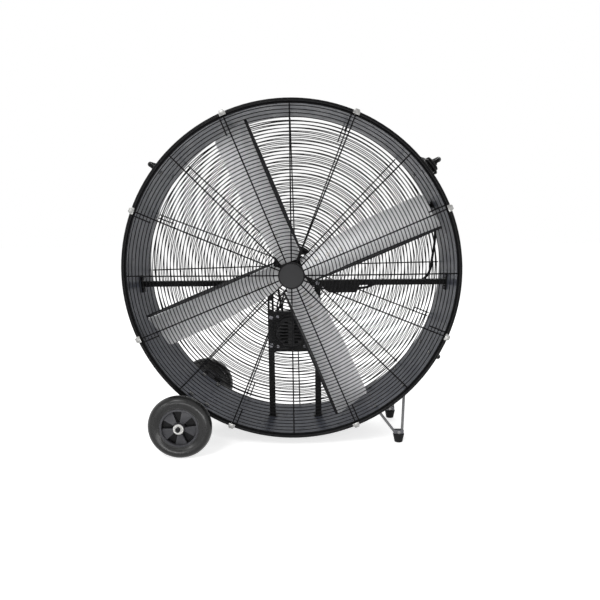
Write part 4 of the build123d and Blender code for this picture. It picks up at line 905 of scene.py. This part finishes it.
def grips():
    """Ribbed rubber sleeves on the three handles."""
    groove, rib = grip_radius - 0.0012, grip_radius - 0.0002
    width = 2 * grip_half / grip_ribs
    outline = [(grip_bore, -grip_half)]
    for k in range(grip_ribs):
        y = -grip_half + width * k
        outline += [(groove, y + 0.0002), (rib, y + 0.25 * width), (rib, y + 0.75 * width)]
    outline += [(groove, grip_half), (grip_bore, grip_half)]
    sleeves = []
    for angle, reach in handles.values():
        sleeve = lathe(outline, 24, "grip")
        sleeve.data.transform(wall_frame(angle) @ Matrix.Translation((0, 0, reach - grip_radius)))
        sleeves.append(sleeve)
    whole = joined(sleeves, "grip_sleeves")
    smoothed(whole, 40)
    installed(whole, "drum_frame", "grip_rubber", grip_rubber, "handle_grips")


def motor_bell():
    """Front bell with ring ridges and louvres, its lip before the plate, its flange behind."""
    bell = lathe([(0.0, -0.0050), (0.0090, -0.0050), (0.0100, -0.0062), (0.0440, -0.0062),
                  (0.0452, -0.0074), (0.0474, -0.0074), (0.0486, -0.0062), (0.0508, -0.0062),
                  (0.0518, -0.0072), (0.0536, -0.0072), (0.0548, -0.0058), (0.0572, -0.0036),
                  (0.0580, -0.0012), (0.0608, -0.0012), (0.0616, -0.0022), (0.0644, -0.0022),
                  (0.0656, -0.0010), (0.0656, 0.0012), (0.0644, 0.0018), (0.0582, 0.0018),
                  (0.0582, 0.0084), (0.0535, 0.0084), (0.0535, -0.0020), (0.0, -0.0020)],
                 72, "bell")
    louvres = []
    for k in range(-3, 4):
        z = louvre_pitch * k
        end = sqrt(louvre_outer ** 2 - z * z)
        for side in (-1, 1):
            middle = side * (louvre_inner + end) / 2
            louvres.append(block((end - louvre_inner, louvre_depth, louvre_height),
                                 (middle, -0.004, z), louvre_tilt))
    cutter = joined(louvres, "louvres")
    cut = bell.modifiers.new("louvres", "BOOLEAN")
    cut.object = cutter
    cut.solver = "EXACT"
    pick(bell)
    bpy.ops.object.modifier_apply(modifier="louvres")
    bpy.data.objects.remove(cutter)
    flange = bevelled(block((0.124, 0.0045, 0.136), (0, 0.01075, 0)), 0.0015)
    whole = joined([bell, flange], "motor_bell")
    whole.data.transform(Matrix.Translation((motor_x, 0, motor_z)))
    smoothed(whole, 30)
    installed(whole, "drum_frame", "motor_paint", bell_enamel, "motor_front_bell")


def motor_barrel():
    """Finned stator housing with a lidded terminal box on its upper left."""
    sides = 4 * motor_fins
    barrel = cylinder(motor_radius, motor_rear - motor_front, (0, 0, 0), unturned, sides)
    for vertex in barrel.data.vertices:
        turn = round(atan2(vertex.co.y, vertex.co.x) / (2 * pi) * sides) % sides
        if turn % 4 < 2:
            vertex.co.x *= motor_core / motor_radius
            vertex.co.y *= motor_core / motor_radius
    middle = (motor_front + motor_rear) / 2
    barrel.data.transform(Matrix.Translation((motor_x, middle, motor_z))
                          @ Matrix.Rotation(radians(90), 4, "X"))
    low = motor_z + motor_radius / 2
    high = terminal_top - terminal_gap
    box = block((0.044, 0.034, high - low), (terminal_x, terminal_y, (high + low) / 2))
    lid = block((0.0452, 0.0352, 0.0028), (terminal_x, terminal_y, terminal_top - terminal_gap / 2))
    pieces = [barrel, bevelled(box, 0.0025, 3), bevelled(lid, 0.0008)]
    for x, y in ((-0.063, 0.0351), (-0.044, 0.0381)):
        gland_nut = cylinder(0.0052, 0.0050, (x, y, terminal_top - 0.0020), unturned, 6)
        pieces.append(bevelled(gland_nut, 0.0004))
    whole = joined(pieces, "motor_barrel")
    smoothed(whole, 25)
    installed(whole, "drum_frame", "motor_paint", motor_enamel, "motor_body")


def build():
    power_cord(plug())
    guard_rings("front_guard", -1)
    guard_rings("rear_guard", 1)
    rim_clips()
    shaded_edge_beads()
    wheels()
    grips()
    motor_bell()
    motor_barrel()


studio()
build()
